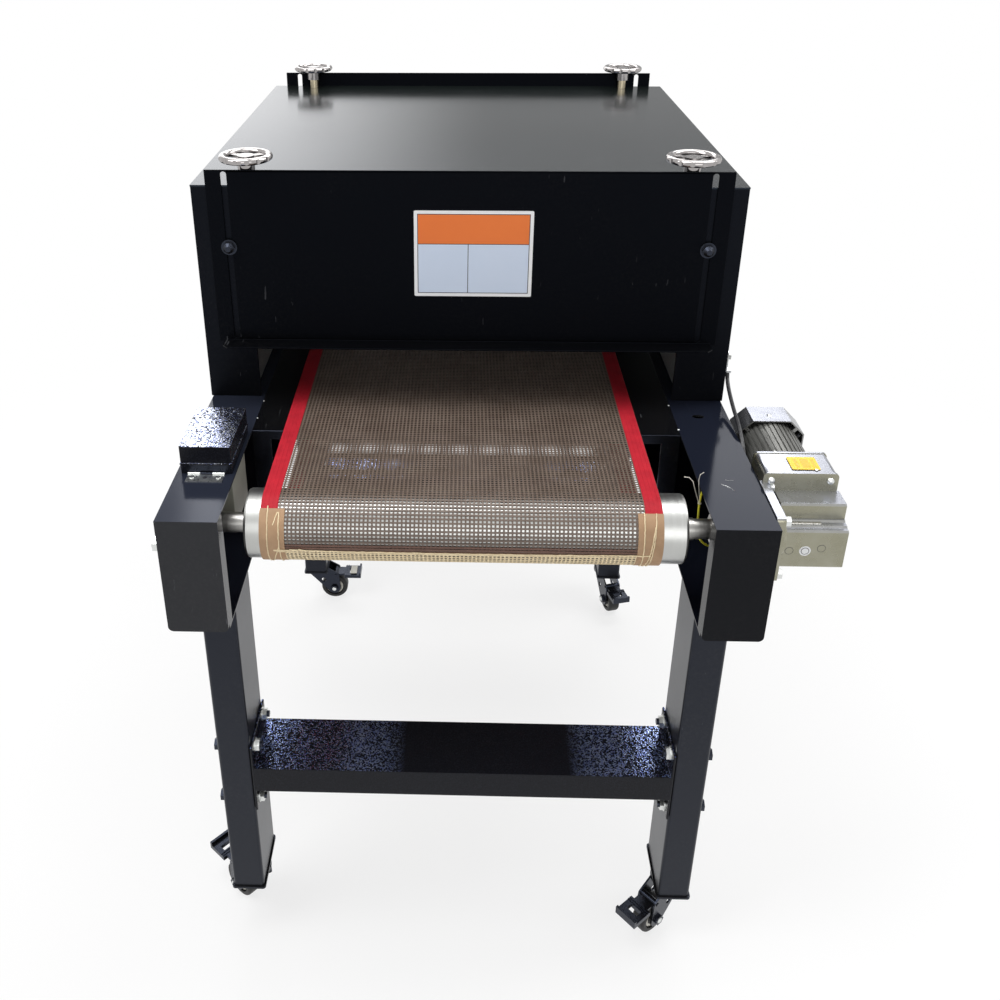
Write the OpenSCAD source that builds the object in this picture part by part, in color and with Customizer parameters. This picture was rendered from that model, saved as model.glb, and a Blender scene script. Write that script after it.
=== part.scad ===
// Infrared conveyor dryer: a tunnel housing on two folded arms, a mesh belt, a gearmotor and braked casters.
// Millimetres, Z up, the infeed end faces -Y and the gearmotor is on +X.

/* [Arms] */
// Clear width between the side arms
arm_gap = 512; // [496:1:540]
// Width of each arm
arm_w = 66.5; // [62:0.5:76]
// Height of each arm
arm_h = 143; // [136:1:160]
// Height of the arms' top face above the floor
arm_top = 672; // [640:1:720]
// Reach of the arms in front of the housing
arm_front = 289; // [280:1:320]
// Reach of the arms behind the housing
arm_rear = 86; // [84:1:110]
// Thickness of the arms' sheet
arm_sheet = 2; // [1.5:0.1:3]
// Width of the lip that returns from each closed end
arm_lip = 20; // [12:1:24]
// Radius of the closed ends' lower corners
arm_corner = 6; // [3:0.5:10]

/* [Legs] */
// Width of the leg tube across the machine
leg_w = 40; // [36:1:46]
// Depth of the leg tube along the machine
leg_d = 80; // [70:1:90]
// Wall of the leg tube
leg_wall = 2; // [1.5:0.1:3]
// Radius of the leg tube's long edges
leg_round = 4; // [2:0.5:6]
// Distance of the front legs' centre in front of the housing
leg_front_y = 214; // [200:1:225]
// Distance of the rear legs' centre behind the housing's front
leg_rear_y = 467; // [420:1:520]
// Thickness of the plate that closes the leg's foot
foot_plate_t = 3; // [2:0.5:5]
// Overhang of the foot plate round the leg
foot_plate_edge = 2; // [1:0.5:4]

/* [Crossbars] */
// Depth of the crossbar along the machine
bar_d = 85; // [76:1:90]
// Height of the crossbar's channel
bar_h = 38; // [30:1:50]
// Height of the crossbar's centre above the floor
bar_z = 273.5; // [220:0.5:340]
// Sheet of the crossbar
bar_sheet = 2.5; // [2:0.1:4]
// Height of the crossbar's end plates
bar_plate_h = 104; // [98:1:120]
// Thickness of the crossbar's end plates
bar_plate_t = 3; // [2:0.5:5]
// Spacing of the end plate's bolts along the machine
bar_bolt_y = 52; // [44:1:58]
// Spacing of the end plate's bolts in height
bar_bolt_z = 85; // [78:1:88]
// Diameter of the crossbar's bolts
bar_bolt_d = 8; // [6:0.5:10]

/* [Housing] */
// Width of the housing
house_w = 650; // [645:1:670]
// Depth of the housing
house_d = 625; // [600:1:680]
// Height of the housing above the arms
house_h = 275.5; // [265:0.5:310]
// Thickness of the housing's sheet
house_sheet = 2; // [1.5:0.1:2.5]
// Width of the pillars beside the housing's mouth
pillar_w = 64.5; // [60:0.5:68]
// Height of the housing's mouth
mouth_h = 232; // [220:1:240]
// Width of the flanges that stand on the arms
house_foot = 50; // [30:1:56]
// Distance of the inner hood's sides from the housing's sides
hood_inset = 55; // [50:1:60]
// Thickness of the inner hood's sheet
hood_sheet = 1.5; // [1:0.1:2]
// Gap between the inner hood and the housing's top
hood_gap = 5; // [3:0.5:10]

/* [Height panels] */
// Distance of the height panels' sides from the housing's sides
panel_side = 18.5; // [15:0.5:22.5]
// Height of the front panel
panel_h = 216; // [205:1:225]
// Height of the front panel's edge above the deck
panel_lift = 78; // [70:1:85]
// Amount by which the rear panel is higher than the front panel
rear_panel_extra = 3; // [0:0.5:4]
// Sheet of the panels
panel_sheet = 2; // [1.5:0.1:2.5]
// Reach of the panel's lower lip
panel_lip = 24; // [14:1:30]
// Inset of the lip's ends from the panel's sides
panel_lip_inset = 7; // [4:0.5:12]
// Width of the panel's slots
slot_w = 7; // [6.6:0.1:9]
// Distance of each slot's middle from the panel's side
slot_edge = 22.5; // [16:0.5:28]
// Distance from a slot's lower end to the panel's edge
slot_foot = 4; // [3:0.5:8]
// Distance from a slot's upper end to the panel's top
slot_head = 2; // [1.5:0.5:6]
// Height of the studs above the deck
stud_z = 200.6; // [190:0.1:208]
// Diameter of the studs
stud_d = 6; // [5:0.1:6.4]

/* [Belt and rollers] */
// Diameter of the rollers
roller_d = 76; // [70:0.5:80]
// Gap between a roller's ends and the arms' inner side
roller_gap = 20; // [15:0.5:26]
// Wall of the roller tubes
roller_wall = 4; // [3:0.5:6]
// Diameter of the roller shafts
shaft_d = 22; // [18:0.5:25]
// Distance of the drive roller's axis in front of the housing
drive_y = 231; // [225:1:236]
// Distance of the rear roller's axis behind the housing
idler_y = 28; // [26:1:32]
// Width of the belt
belt_w = 426; // [400:1:440]
// Distance by which the belt has tracked to the right
belt_shift = -4.6; // [-8:0.1:8]
// Thickness of the belt
belt_t = 1; // [0.8:0.1:1.5]
// Reach of the deck plate in front of the housing
deck_front = 92; // [80:1:110]
// Distance of the deck plate's rear edge from the housing's rear
deck_back = 35; // [30:1:60]
// Depth of the deck plate's turned-down edges
deck_lip = 12; // [8:0.5:16]
// Width of the ears under the deck plate
deck_ear = 22; // [14:1:24]
// Depth of the ears under the deck plate
deck_ear_h = 80; // [60:1:90]

/* [Lamp tray] */
// Gap between the lamp tray and the inner hood
tray_gap = 30; // [25:0.5:36]
// Height of the lamp tray's skirts
tray_h = 40; // [36:1:50]
// Height of the tray's top above the deck
tray_z = 206; // [200:1:215]
// Sheet of the tray
tray_sheet = 2; // [1.5:0.1:2.5]
// Number of quartz tubes
lamp_count = 6; // [4:1:8]
// Diameter of the quartz tubes
lamp_d = 12; // [10:0.5:14]
// Distance of the lifting screws from the housing's sides
screw_inset = 66.5; // [65:0.5:68]
// Distance of the jacking screws from the housing's front and rear faces
screw_y = 10.5; // [10.4:0.1:12]
// Diameter of the jacking screws
screw_d = 8; // [7:0.1:8.4]
// Length of the jacking screws below the housing's top
screw_drop = 126; // [118:1:132]

/* [Handwheels] */
// Diameter of the handwheels
wheel_d = 63; // [56:0.5:66]
// Height of the rim's middle above the housing's top
wheel_z = 31; // [30:0.5:36]
// Width of the rim, seen from above
rim_w = 9; // [7:0.5:10]
// Height of the rim
rim_h = 8; // [6:0.5:9]
// Number of lobes round the rim
lobe_count = 14; // [10:1:16]
// Diameter of the handwheel's hub
hub_d = 20; // [18:0.5:20.5]
// Diameter of the brass collars
collar_d = 13.5; // [12:0.5:15]
// Height of the brass collars
collar_h = 12.5; // [8:0.5:14]

/* [Gearmotor] */
// Side of the gearbox's square flange
gear_side = 80; // [76:0.5:84]
// Bolt spacing on the square flange
gear_bolt = 66.5; // [64:0.5:68]
// Thickness of the square flange
gear_flange_t = 9.5; // [8:0.5:12]
// Diameter of the boss behind the flange
gear_boss_d = 54; // [48:1:58]
// Length of the boss
gear_boss_l = 7; // [6.2:0.1:9]
// Width of the gear case
gear_w = 70; // [64:0.5:74]
// Depth of the motor's adapter block
adapter_d = 47.5; // [40:0.5:52]
// Distance from the gearbox's axis to the adapter block
adapter_y = 32.5; // [31:0.5:36]
// Height of the motor's axis above the gearbox's axis
motor_rise = 11; // [8:0.5:14]
// Distance of the motor's axis from the arm's side
motor_x = 43.5; // [43:0.5:46]
// Diameter of the motor's body
motor_d = 74; // [70:0.5:76]
// Length of the motor's body behind the adapter
motor_l = 92; // [88:1:100]
// Number of ribs round the motor's body
rib_count = 40; // [30:2:48]
// Width of the fan cover across its flats
cover_w = 80; // [79:0.5:82]
// Length of the fan cover
cover_l = 37; // [32:1:42]
// Width of the fan cover's corners
cover_corner = 17.5; // [14:0.5:20]
// Wall of the fan cover
cover_wall = 1.5; // [1:0.1:1.6]

/* [Sensor box] */
// Width of the box on the left arm
sbox_w = 57; // [50:0.5:60]
// Depth of the box
sbox_d = 95; // [80:1:110]
// Height of the box's base
sbox_base_h = 11; // [9:0.5:14]
// Height of the box's lid
sbox_lid_h = 23; // [18:0.5:28]
// Wall of the box
sbox_wall = 1.5; // [1.2:0.1:2]
// Distance of the box's hinge in front of the housing
sbox_y = 193; // [186:1:200]
// Distance of the box from the arm's inner edge
sbox_in = 3.5; // [2:0.5:5]
// Length of the hinge
hinge_l = 41; // [36:0.5:44]
// Depth of each hinge leaf
hinge_leaf_d = 18; // [14:0.5:20]
// Thickness of the hinge leaves
hinge_t = 1; // [0.8:0.1:1.4]

/* [Casters] */
// Diameter of the caster wheels
cast_d = 50; // [46:0.5:52]
// Width of the caster wheels
cast_w = 20; // [17:0.5:22]
// Height of the casters
cast_h = 78; // [76:0.5:84]
// Trail of the caster wheels
cast_trail = 30; // [26:0.5:32]
// Diameter of the caster's axle
cast_axle_d = 8; // [7:0.5:9]
// Distance of the brake pedal's tip from the swivel axis
pedal_tip = 82; // [76:0.5:88]
// Width of the brake pedal
pedal_w = 32; // [26:0.5:34]
// Swivel angle of the front left caster
turn_front_left = 138; // [100:1:150]
// Swivel angle of the front right caster
turn_front_right = 221; // [190:1:260]
// Swivel angle of the rear left caster
turn_rear_left = 0; // [-60:1:40]
// Swivel angle of the rear right caster
turn_rear_right = -75; // [-110:1:-30]

/* [Hidden] */

paint = [0.07, 0.075, 0.085];
zinc = [0.78, 0.79, 0.8];
cast_grey = [0.62, 0.62, 0.58];

// Overrun of every cut, gap of every running or sliding fit, and clearance of every seat
over = 1;
fit = 0.05;
seat = 0.3;

arm_in = arm_gap / 2;
arm_out = arm_in + arm_w;
arm_bottom = arm_top - arm_h;
arm_y0 = -arm_front;
arm_y1 = house_d + arm_rear;
house_top = arm_top + house_h;
half_house = house_w / 2;
panel_w = house_w - 2 * panel_side;
slot_x = panel_w / 2 - slot_edge;
screw_x = half_house - screw_inset;
mouth_w = house_w - 2 * pillar_w;
roller_l = arm_gap - 2 * roller_gap;
tray_w = house_w - 2 * (hood_inset + tray_gap);
leg_x = arm_in + leg_w / 2;
leg_foot = cast_h;
leg_places = [[-leg_x, -leg_front_y], [leg_x, -leg_front_y], [-leg_x, leg_rear_y], [leg_x, leg_rear_y]];
turns = [turn_front_left, turn_front_right, turn_rear_left, turn_rear_right];
roller_r = roller_d / 2;
axis_z = arm_top - roller_r;
idler_place = house_d + idler_y;
belt_in = roller_r + seat;
belt_out = belt_in + belt_t;
panel_z = arm_top + panel_lift;
stud_place = arm_top + stud_z;
tray_top = arm_top + tray_z;
collar_top = house_top + collar_h;
wheel_mid = house_top + wheel_z;
gear_x = arm_out + gear_flange_t + gear_boss_l;
gear_end = gear_x + gear_w;
motor_cx = arm_out + motor_x;
motor_cz = axis_z + motor_rise;
adapter_y0 = -drive_y + adapter_y;
adapter_y1 = adapter_y0 + adapter_d;
cover_over = 18;
cover_y0 = adapter_y1 + motor_l - cover_over;
lead_d = 5;
wire_d = 2.5;

// The origin lies under the middle of the whole object, between the front left pedal and the gear case
pedal_reach = leg_x - pedal_tip * cos(turn_front_left) + pedal_w / 2 * sin(turn_front_left);
origin_x = (gear_end - pedal_reach) / 2;
tension_head_h = 5.3;
origin_y = (arm_y0 + arm_y1 + tension_head_h) / 2;

module placed() {
  translate([-origin_x, -origin_y, 0]) children();
}

module on_side(side) {
  mirror([side < 0 ? 1 : 0, 0, 0]) children();
}

// A block between two corners
module block(low, high) {
  translate(low) cube(high - low);
}

// A rod or hole along X, Y or Z from its start
module rod_x(start, d, l) {
  translate(start) rotate([0, 90, 0]) cylinder(d = d, h = l, $fn = 40);
}

module rod_y(start, d, l) {
  translate(start) rotate([-90, 0, 0]) cylinder(d = d, h = l, $fn = 40);
}

module rod_z(start, d, l) {
  translate(start) cylinder(d = d, h = l, $fn = 40);
}

module hex_x(start, flats, l) {
  translate(start) rotate([0, 90, 0]) cylinder(d = flats / cos(30), h = l, $fn = 6);
}

// A rectangle with round corners
module round_rect(size, r) {
  translate([r, 0]) square([size[0] - 2 * r, size[1]]);
  translate([0, r]) square([size[0], size[1] - 2 * r]);
  for (x = [r, size[0] - r], y = [r, size[1] - r]) translate([x, y]) circle(r = r, $fn = 32);
}

// The section of a stretch of belt round two equal rollers
module loop_outline(r) {
  for (y = [-drive_y, idler_place]) translate([y, axis_z]) circle(r = r, $fn = 96);
  translate([-drive_y, axis_z - r]) square([idler_place + drive_y, 2 * r]);
}

// Points of a smooth curve through hand-set places, and the tube along it
function bend(a, b, c, d, t) = 0.5 * (2 * b + (c - a) * t + (2 * a - 5 * b + 4 * c - d) * t * t
  + (3 * b - a - 3 * c + d) * t * t * t);

function curve(places, steps) = let (n = len(places) - 1)
  [for (i = [0:n - 1], j = [0:steps - 1])
    bend(places[max(i - 1, 0)], places[i], places[i + 1], places[min(i + 2, n)], j / steps), places[n]];

function unit(v) = v / norm(v);

module tube(places, d, side_axis, steps = 4, sides = 8) {
  path = curve(places, steps);
  n = len(path);
  rings = [for (i = [0:n - 1])
    let (along = unit(path[min(i + 1, n - 1)] - path[max(i - 1, 0)]))
    let (u = unit(cross(along, side_axis)))
    let (v = cross(along, u))
    for (k = [0:sides - 1]) path[i] + d / 2 * (u * cos(360 * k / sides) + v * sin(360 * k / sides))];
  walls = [for (i = [0:n - 2], k = [0:sides - 1], h = [0, 1])
    let (a = i * sides + k, b = i * sides + (k + 1) % sides)
    h == 0 ? [a, a + sides, b] : [b, a + sides, b + sides]];
  caps = concat([[for (k = [0:sides - 1]) k]], [[for (k = [sides - 1:-1:0]) (n - 1) * sides + k]]);
  polyhedron(points = rings, faces = concat(walls, caps));
}

// One arm: a folded channel, open inward, with closed ends that return in a lip
module arm(side) {
  on_side(side) difference() {
    union() {
      difference() {
        block([arm_in, arm_y0, arm_bottom], [arm_out, arm_y1, arm_top]);
        block([arm_in - over, arm_y0 + arm_sheet, arm_bottom + arm_sheet],
          [arm_out - arm_sheet, arm_y1 - arm_sheet, arm_top - arm_sheet]);
      }
      for (y = [arm_y0, arm_y1 - arm_lip])
        block([arm_in, y, arm_bottom], [arm_in + arm_sheet, y + arm_lip, arm_top]);
    }
    for (y = [arm_y0, arm_y1 - arm_corner], x = [arm_in, arm_out - arm_corner]) arm_corner_cut(x, y);
    if (side < 0) {
      rod_x([arm_out - arm_sheet - over, -drive_y, axis_z], shaft_d + 2 * over, arm_sheet + 2 * over);
      for (s = [-1, 1]) rod_x([arm_out - arm_sheet - over, -drive_y + s * bearing_bolt, axis_z],
        bolt_hole_d, arm_sheet + 2 * over);
      block([sbox_x0 + sbox_hole_in, -sbox_y + sbox_hole_in, arm_top - arm_sheet - over],
        [sbox_x0 + sbox_w - sbox_hole_in, -sbox_y + sbox_d - sbox_hole_in, arm_top + over]);
    } else {
      rod_x([arm_out - arm_sheet - over, -drive_y, axis_z], shaft_d + 2 * over, arm_sheet + 2 * over);
      for (y = [-1, 1], z = [-1, 1])
        rod_x([arm_out - arm_sheet - over, -drive_y + y * gear_bolt / 2, axis_z + z * gear_bolt / 2],
          gear_bolt_d + 2 * fit, arm_sheet + 2 * over);
      translate([cable_hole_x, -cable_hole_y, arm_top - arm_sheet - over])
        linear_extrude(arm_sheet + 2 * over) scale([cable_hole_share, 1]) circle(d = cable_hole_d, $fn = 32);
    }
    for (s = [-1, 1]) block(
      [arm_out - arm_sheet - over, idler_place + s * bearing_bolt - take_up / 2, axis_z - bolt_hole_d / 2],
      [arm_out + over, idler_place + s * bearing_bolt + take_up / 2, axis_z + bolt_hole_d / 2]);
    block([arm_out - arm_sheet - over, idler_place - shaft_d / 2 - take_up / 2, axis_z - shaft_d / 2 - over],
      [arm_out + over, idler_place + shaft_d / 2 + take_up / 2, axis_z + shaft_d / 2 + over]);
    rod_y([tension_x, arm_y1 - arm_sheet - over, axis_z], tension_d + 2 * fit, arm_sheet + 2 * over);
  }
}

bearing_bolt = 42;
bearing_end_r = 11;
bearing_r = 27;
bearing_t = 12;
bearing_hub_r = 19;
bearing_hub_t = 10;
bolt_hole_d = 10.4;
bearing_bolt_d = 10;
bearing_nut = 16;
bearing_nut_h = 8;
take_up = 14;
tension_d = 8;
tension_x = arm_out - arm_sheet - bearing_t / 2;
gear_bolt_d = 5;
cable_hole_x = 286;
cable_hole_y = 43;
cable_hole_d = 9;
cable_hole_share = 1.6;
sbox_x0 = arm_in + sbox_in;
sbox_hole_in = 14;

// What a round lower corner takes from a closed end, seen along the arm
module arm_corner_cut(x, y) {
  inner = x > arm_in;
  difference() {
    block([inner ? x : x - over, y - over, arm_bottom - over],
      [x + arm_corner + (inner ? over : 0), y + arm_corner + over, arm_bottom + arm_corner]);
    rod_y([inner ? x : x + arm_corner, y - 2 * over, arm_bottom + arm_corner], 2 * arm_corner,
      arm_corner + 4 * over);
  }
}

module arm_left() {
  color(paint) placed() arm(-1);
}

module arm_right() {
  color(paint) placed() arm(1);
}

// One leg: a rounded tube on a foot plate with the caster's stem hole
module leg(i) {
  at = leg_places[i];
  translate([at[0] - leg_w / 2, at[1] - leg_d / 2, 0]) difference() {
    union() {
      translate([0, 0, leg_foot + foot_plate_t]) linear_extrude(arm_bottom - leg_foot - foot_plate_t)
        difference() {
          round_rect([leg_w, leg_d], leg_round);
          translate([leg_wall, leg_wall])
            round_rect([leg_w - 2 * leg_wall, leg_d - 2 * leg_wall], leg_round - leg_wall / 2);
        }
      translate([-foot_plate_edge, -foot_plate_edge, leg_foot]) linear_extrude(foot_plate_t)
        round_rect([leg_w + 2 * foot_plate_edge, leg_d + 2 * foot_plate_edge], leg_round);
    }
    rod_z([leg_w / 2, leg_d / 2, leg_foot - over], stem_d + 2 * fit, foot_plate_t + 2 * over);
    for (y = [-1, 1], z = [-1, 1])
      rod_x([-over, leg_d / 2 + y * bar_bolt_y / 2, bar_z + z * bar_bolt_z / 2], bar_bolt_d + 2 * fit,
        leg_w + 2 * over);
  }
}

stem_d = 10;

module leg_front_left() {
  color(paint) placed() leg(0);
}

module leg_front_right() {
  color(paint) placed() leg(1);
}

module leg_rear_left() {
  color(paint) placed() leg(2);
}

module leg_rear_right() {
  color(paint) placed() leg(3);
}

// A channel, open below, welded between two end plates
module crossbar(y) {
  inner = arm_in - bar_plate_t;
  difference() {
    union() {
      difference() {
        block([-inner, y - bar_d / 2, bar_z - bar_h / 2], [inner, y + bar_d / 2, bar_z + bar_h / 2]);
        block([-inner - over, y - bar_d / 2 + bar_sheet, bar_z - bar_h / 2 - over],
          [inner + over, y + bar_d / 2 - bar_sheet, bar_z + bar_h / 2 - bar_sheet]);
      }
      for (s = [-1, 1]) on_side(s)
        block([inner, y - bar_d / 2, bar_z - bar_plate_h / 2],
          [arm_in, y + bar_d / 2, bar_z + bar_plate_h / 2]);
    }
    for (s = [-1, 1], dy = [-1, 1], z = [-1, 1]) on_side(s)
      rod_x([inner - over, y + dy * bar_bolt_y / 2, bar_z + z * bar_bolt_z / 2], bar_bolt_d + 2 * fit,
        bar_plate_t + 2 * over);
  }
}

module crossbar_front() {
  color(paint) placed() crossbar(-leg_front_y);
}

module crossbar_rear() {
  color(paint) placed() crossbar(leg_rear_y);
}

module each_leg_bolt() {
  for (s = [-1, 1], y = [-leg_front_y, leg_rear_y], dy = [-1, 1], z = [-1, 1]) on_side(s)
    translate([0, y + dy * bar_bolt_y / 2, bar_z + z * bar_bolt_z / 2]) children();
}

bolt_head = 13;
bolt_head_h = 5.5;
nut_h = 6.5;
nut_flange_d = 17;
nut_flange_h = 1.6;
bolt_tail = 3;

// Hexagon bolts through each leg and end plate
module leg_bolts() {
  color(paint) placed() each_leg_bolt() {
    hex_x([arm_in + leg_w, 0, 0], bolt_head, bolt_head_h);
    rod_x([arm_in - bar_plate_t - nut_h - bolt_tail, 0, 0], bar_bolt_d,
      leg_w + bar_plate_t + nut_h + bolt_tail + fit);
  }
}

module leg_nuts() {
  color(zinc) placed() each_leg_bolt() difference() {
    union() {
      hex_x([arm_in - bar_plate_t - nut_h, 0, 0], bolt_head, nut_h);
      rod_x([arm_in - bar_plate_t - nut_flange_h, 0, 0], nut_flange_d, nut_flange_h);
    }
    rod_x([arm_in - bar_plate_t - nut_h - over, 0, 0], bar_bolt_d + 2 * fit, nut_h + 2 * over);
  }
}

// The plate the belt slides on, with turned-down edges and an ear under each front corner
module deck_plate() {
  y1 = house_d - deck_back;
  color(paint) placed() {
    block([-arm_in, -deck_front, arm_top - arm_sheet], [arm_in, y1, arm_top]);
    for (y = [-deck_front, y1 - arm_sheet])
      block([-arm_in, y, arm_top - deck_lip], [arm_in, y + arm_sheet, arm_top - arm_sheet]);
    for (s = [-1, 1]) on_side(s) {
      block([arm_in - deck_ear, -deck_front, arm_top - deck_ear_h],
        [arm_in, -deck_front + arm_sheet, arm_top - deck_lip]);
      block([arm_in - arm_sheet, -deck_front + arm_sheet, arm_top - deck_ear_h],
        [arm_in, -deck_front + deck_ear, arm_top - arm_sheet]);
    }
  }
}

// The outer housing: sides, a pillar each side of each mouth, headers and flanges on the arms
module housing_shell() {
  z1 = house_top - house_sheet;
  color(paint) placed() difference() {
    block([-half_house, 0, arm_top], [half_house, house_d, z1]);
    block([-half_house + house_sheet, house_sheet, arm_top + house_sheet],
      [half_house - house_sheet, house_d - house_sheet, z1 + over]);
    block([-mouth_w / 2, -over, arm_top - over], [mouth_w / 2, house_d + over, arm_top + mouth_h]);
    block([-half_house + house_foot, house_sheet, arm_top - over],
      [half_house - house_foot, house_d - house_sheet, arm_top + house_sheet + over]);
    for (s = [-1, 1], y = [0, house_d]) on_side(s) rod_y([slot_x, y - house_sheet - over, stud_place],
      stud_d + 2 * fit, 2 * house_sheet + 2 * over);
  }
}

module top_plate() {
  color(paint) placed() difference() {
    block([-half_house, 0, house_top - house_sheet], [half_house, house_d, house_top]);
    each_screw() rod_z([0, 0, house_top - house_sheet - over], screw_d + 2 * fit, house_sheet + 2 * over);
  }
}

module each_screw() {
  for (s = [-1, 1], y = [screw_y, house_d - screw_y]) translate([s * screw_x, y, 0]) children();
}

// The hood inside the housing: two sides and a ceiling that hangs under the top
module tunnel_liner() {
  hood_x = half_house - hood_inset;
  z1 = house_top - house_sheet - hood_gap;
  y0 = house_sheet + seat;
  y1 = house_d - house_sheet - seat;
  color("silver") placed() difference() {
    union() {
      for (s = [-1, 1]) on_side(s) {
        block([hood_x, y0, arm_top + house_sheet], [hood_x + hood_sheet, y1, z1]);
        block([hood_x, y0, arm_top + house_sheet],
          [half_house - house_foot + hood_foot, y1, arm_top + house_sheet + hood_sheet]);
      }
      block([-hood_x, y0, z1 - hood_sheet], [hood_x, y1, z1]);
      for (x = [-1, 1], y = [1, 3]) translate([x * hood_x / 2, y * house_d / 4, z1])
        cylinder(d = hood_post_d, h = hood_gap, $fn = 24);
    }
    each_screw() rod_z([0, 0, z1 - hood_sheet - over], collar_d, hood_sheet + 2 * over);
  }
}

hood_foot = 12;
hood_post_d = 16;

// A two-bolt flange bearing against the inside of an arm
module flange_bearing(y) {
  tangent = acos((bearing_r - bearing_end_r) / bearing_bolt);
  x0 = arm_out - arm_sheet - bearing_t;
  difference() {
    union() {
      translate([x0, y, axis_z]) rotate([90, 0, 90]) linear_extrude(bearing_t) {
        circle(r = bearing_r, $fn = 64);
        for (s = [-1, 1]) translate([s * bearing_bolt, 0]) circle(r = bearing_end_r, $fn = 40);
        polygon([for (p = [[1, 1, 0], [1, 1, 1], [-1, 1, 1], [-1, 1, 0], [-1, -1, 0], [-1, -1, 1],
          [1, -1, 1], [1, -1, 0]])
          let (r = p[2] == 0 ? bearing_r : bearing_end_r)
          [p[0] * (p[2] * bearing_bolt + r * cos(tangent)), p[1] * r * sin(tangent)]]);
      }
      rod_x([x0 - bearing_hub_t, y, axis_z], 2 * bearing_hub_r, bearing_hub_t + over);
    }
    rod_x([x0 - bearing_hub_t - over, y, axis_z], shaft_d + 2 * fit, bearing_t + bearing_hub_t + 2 * over);
    for (s = [-1, 1]) rod_x([x0 - over, y + s * bearing_bolt, axis_z], bearing_bolt_d + 2 * fit,
      bearing_t + 2 * over);
  }
}

module drive_bearing() {
  color("dimgray") placed() on_side(-1) flange_bearing(-drive_y);
}

module idler_bearings() {
  color("dimgray") placed() for (s = [-1, 1]) on_side(s) flange_bearing(idler_place);
}

// Bolts of the bearings, with their heads inside and nuts on the arm's outer side
module bearing_bolts() {
  head = 6.4;
  color(zinc) placed() for (p = [[-1, -drive_y], [-1, idler_place], [1, idler_place]], s = [-1, 1])
    on_side(p[0]) translate([0, p[1] + s * bearing_bolt, axis_z]) {
      hex_x([arm_out - arm_sheet - bearing_t - head, 0, 0], bearing_nut, head);
      rod_x([arm_out - arm_sheet - bearing_t - fit, 0, 0], bearing_bolt_d,
        bearing_t + arm_sheet + bearing_nut_h + bolt_tail / 2);
      hex_x([arm_out, 0, 0], bearing_nut, bearing_nut_h);
    }
}

// Screws that pull the rear bearings back through the arms' rear ends
module tension_bolts() {
  color(zinc) placed() for (s = [-1, 1]) on_side(s) {
    rod_y([tension_x, idler_place + bearing_bolt + bearing_end_r + fit, axis_z], tension_d,
      arm_y1 - idler_place - bearing_bolt - bearing_end_r - fit + tension_head_h);
    translate([tension_x, arm_y1, axis_z]) rotate([-90, 0, 0])
      cylinder(d = bolt_head / cos(30), h = tension_head_h, $fn = 6);
  }
}

// The right-angle gearbox: square flange, boss, stepped case and the motor's adapter block
module gear_case() {
  half = gear_side / 2;
  front = -14;
  step_y = 4;
  shoulder = 6.5;
  crown = 30.5;
  lip = 2;
  case_foot = gear_side / 2 - over;
  color(cast_grey) placed() difference() {
    union() {
      translate([arm_out, -drive_y - half, axis_z - half]) rotate([90, 0, 90]) linear_extrude(gear_flange_t)
        round_rect([gear_side, gear_side], gear_round);
      rod_x([arm_out + gear_flange_t - over, -drive_y, axis_z], gear_boss_d, gear_boss_l + 2 * over);
      translate([gear_x, -drive_y, axis_z]) rotate([90, 0, 90]) linear_extrude(gear_w)
        polygon([[front, -case_foot + lip], [front + lip, -case_foot], [adapter_y, -case_foot],
          [adapter_y, crown], [step_y + lip, crown], [step_y, crown - lip], [step_y, shoulder + 3 * lip],
          [step_y - lip, shoulder + 3 * lip], [step_y - 2 * lip, shoulder + 2 * lip],
          [step_y - 5 * lip, shoulder + 2 * lip], [step_y - 6 * lip, shoulder + lip],
          [front + lip, shoulder + lip], [front, shoulder]]);
      translate([motor_cx - half, adapter_y1, motor_cz - half]) rotate([90, 0, 0])
        linear_extrude(adapter_d) round_rect([gear_side, gear_side], gear_round);
      for (y = [adapter_y0, adapter_y1 - adapter_rim])
        translate([motor_cx - half - adapter_bead, y + adapter_rim, motor_cz - half - adapter_bead])
          rotate([90, 0, 0]) linear_extrude(adapter_rim)
            round_rect([gear_side + 2 * adapter_bead, gear_side + 2 * adapter_bead], gear_round);
    }
    rod_x([arm_out - over, -drive_y, axis_z], shaft_d + 2 * fit, shaft_reach + over + seat);
    for (y = [-1, 1], z = [-1, 1])
      rod_x([arm_out - over, -drive_y + y * gear_bolt / 2, axis_z + z * gear_bolt / 2], gear_bolt_d + 2 * fit,
        gear_flange_t + 2 * over);
    for (y = [-1, 1], z = [-1, 1])
      rod_x([arm_out + gear_flange_t, -drive_y + y * gear_bolt / 2, axis_z + z * gear_bolt / 2],
        gear_head / cos(30) + 2 * seat, gear_head_h + seat);
    rod_y([motor_cx, adapter_y1 - rotor_seat, motor_cz], rotor_d + 2 * fit, rotor_seat + over);
    block([gear_x - over, adapter_y0 - case_relief, axis_z - half - over],
      [gear_x + case_relief, adapter_y0, axis_z - gear_bolt / 2 + case_relief]);
  }
}

gear_round = 5;
adapter_rim = 3;
adapter_bead = 0.8;
shaft_reach = 60;
rotor_seat = 12;
rotor_d = 10;
core_d = 42;
core_l = 46;
core_start = 20;
case_relief = 8;
gear_head = 10;
gear_head_h = 5.7;
gear_bolt_in = 12;

module gearbox_bolts() {
  color(zinc) placed() for (y = [-1, 1], z = [-1, 1])
    translate([0, -drive_y + y * gear_bolt / 2, axis_z + z * gear_bolt / 2]) {
      hex_x([arm_out + gear_flange_t, 0, 0], gear_head, gear_head_h);
      rod_x([arm_out - arm_sheet - gear_bolt_in, 0, 0], gear_bolt_d,
        gear_flange_t + arm_sheet + gear_bolt_in + fit);
    }
}

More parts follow.
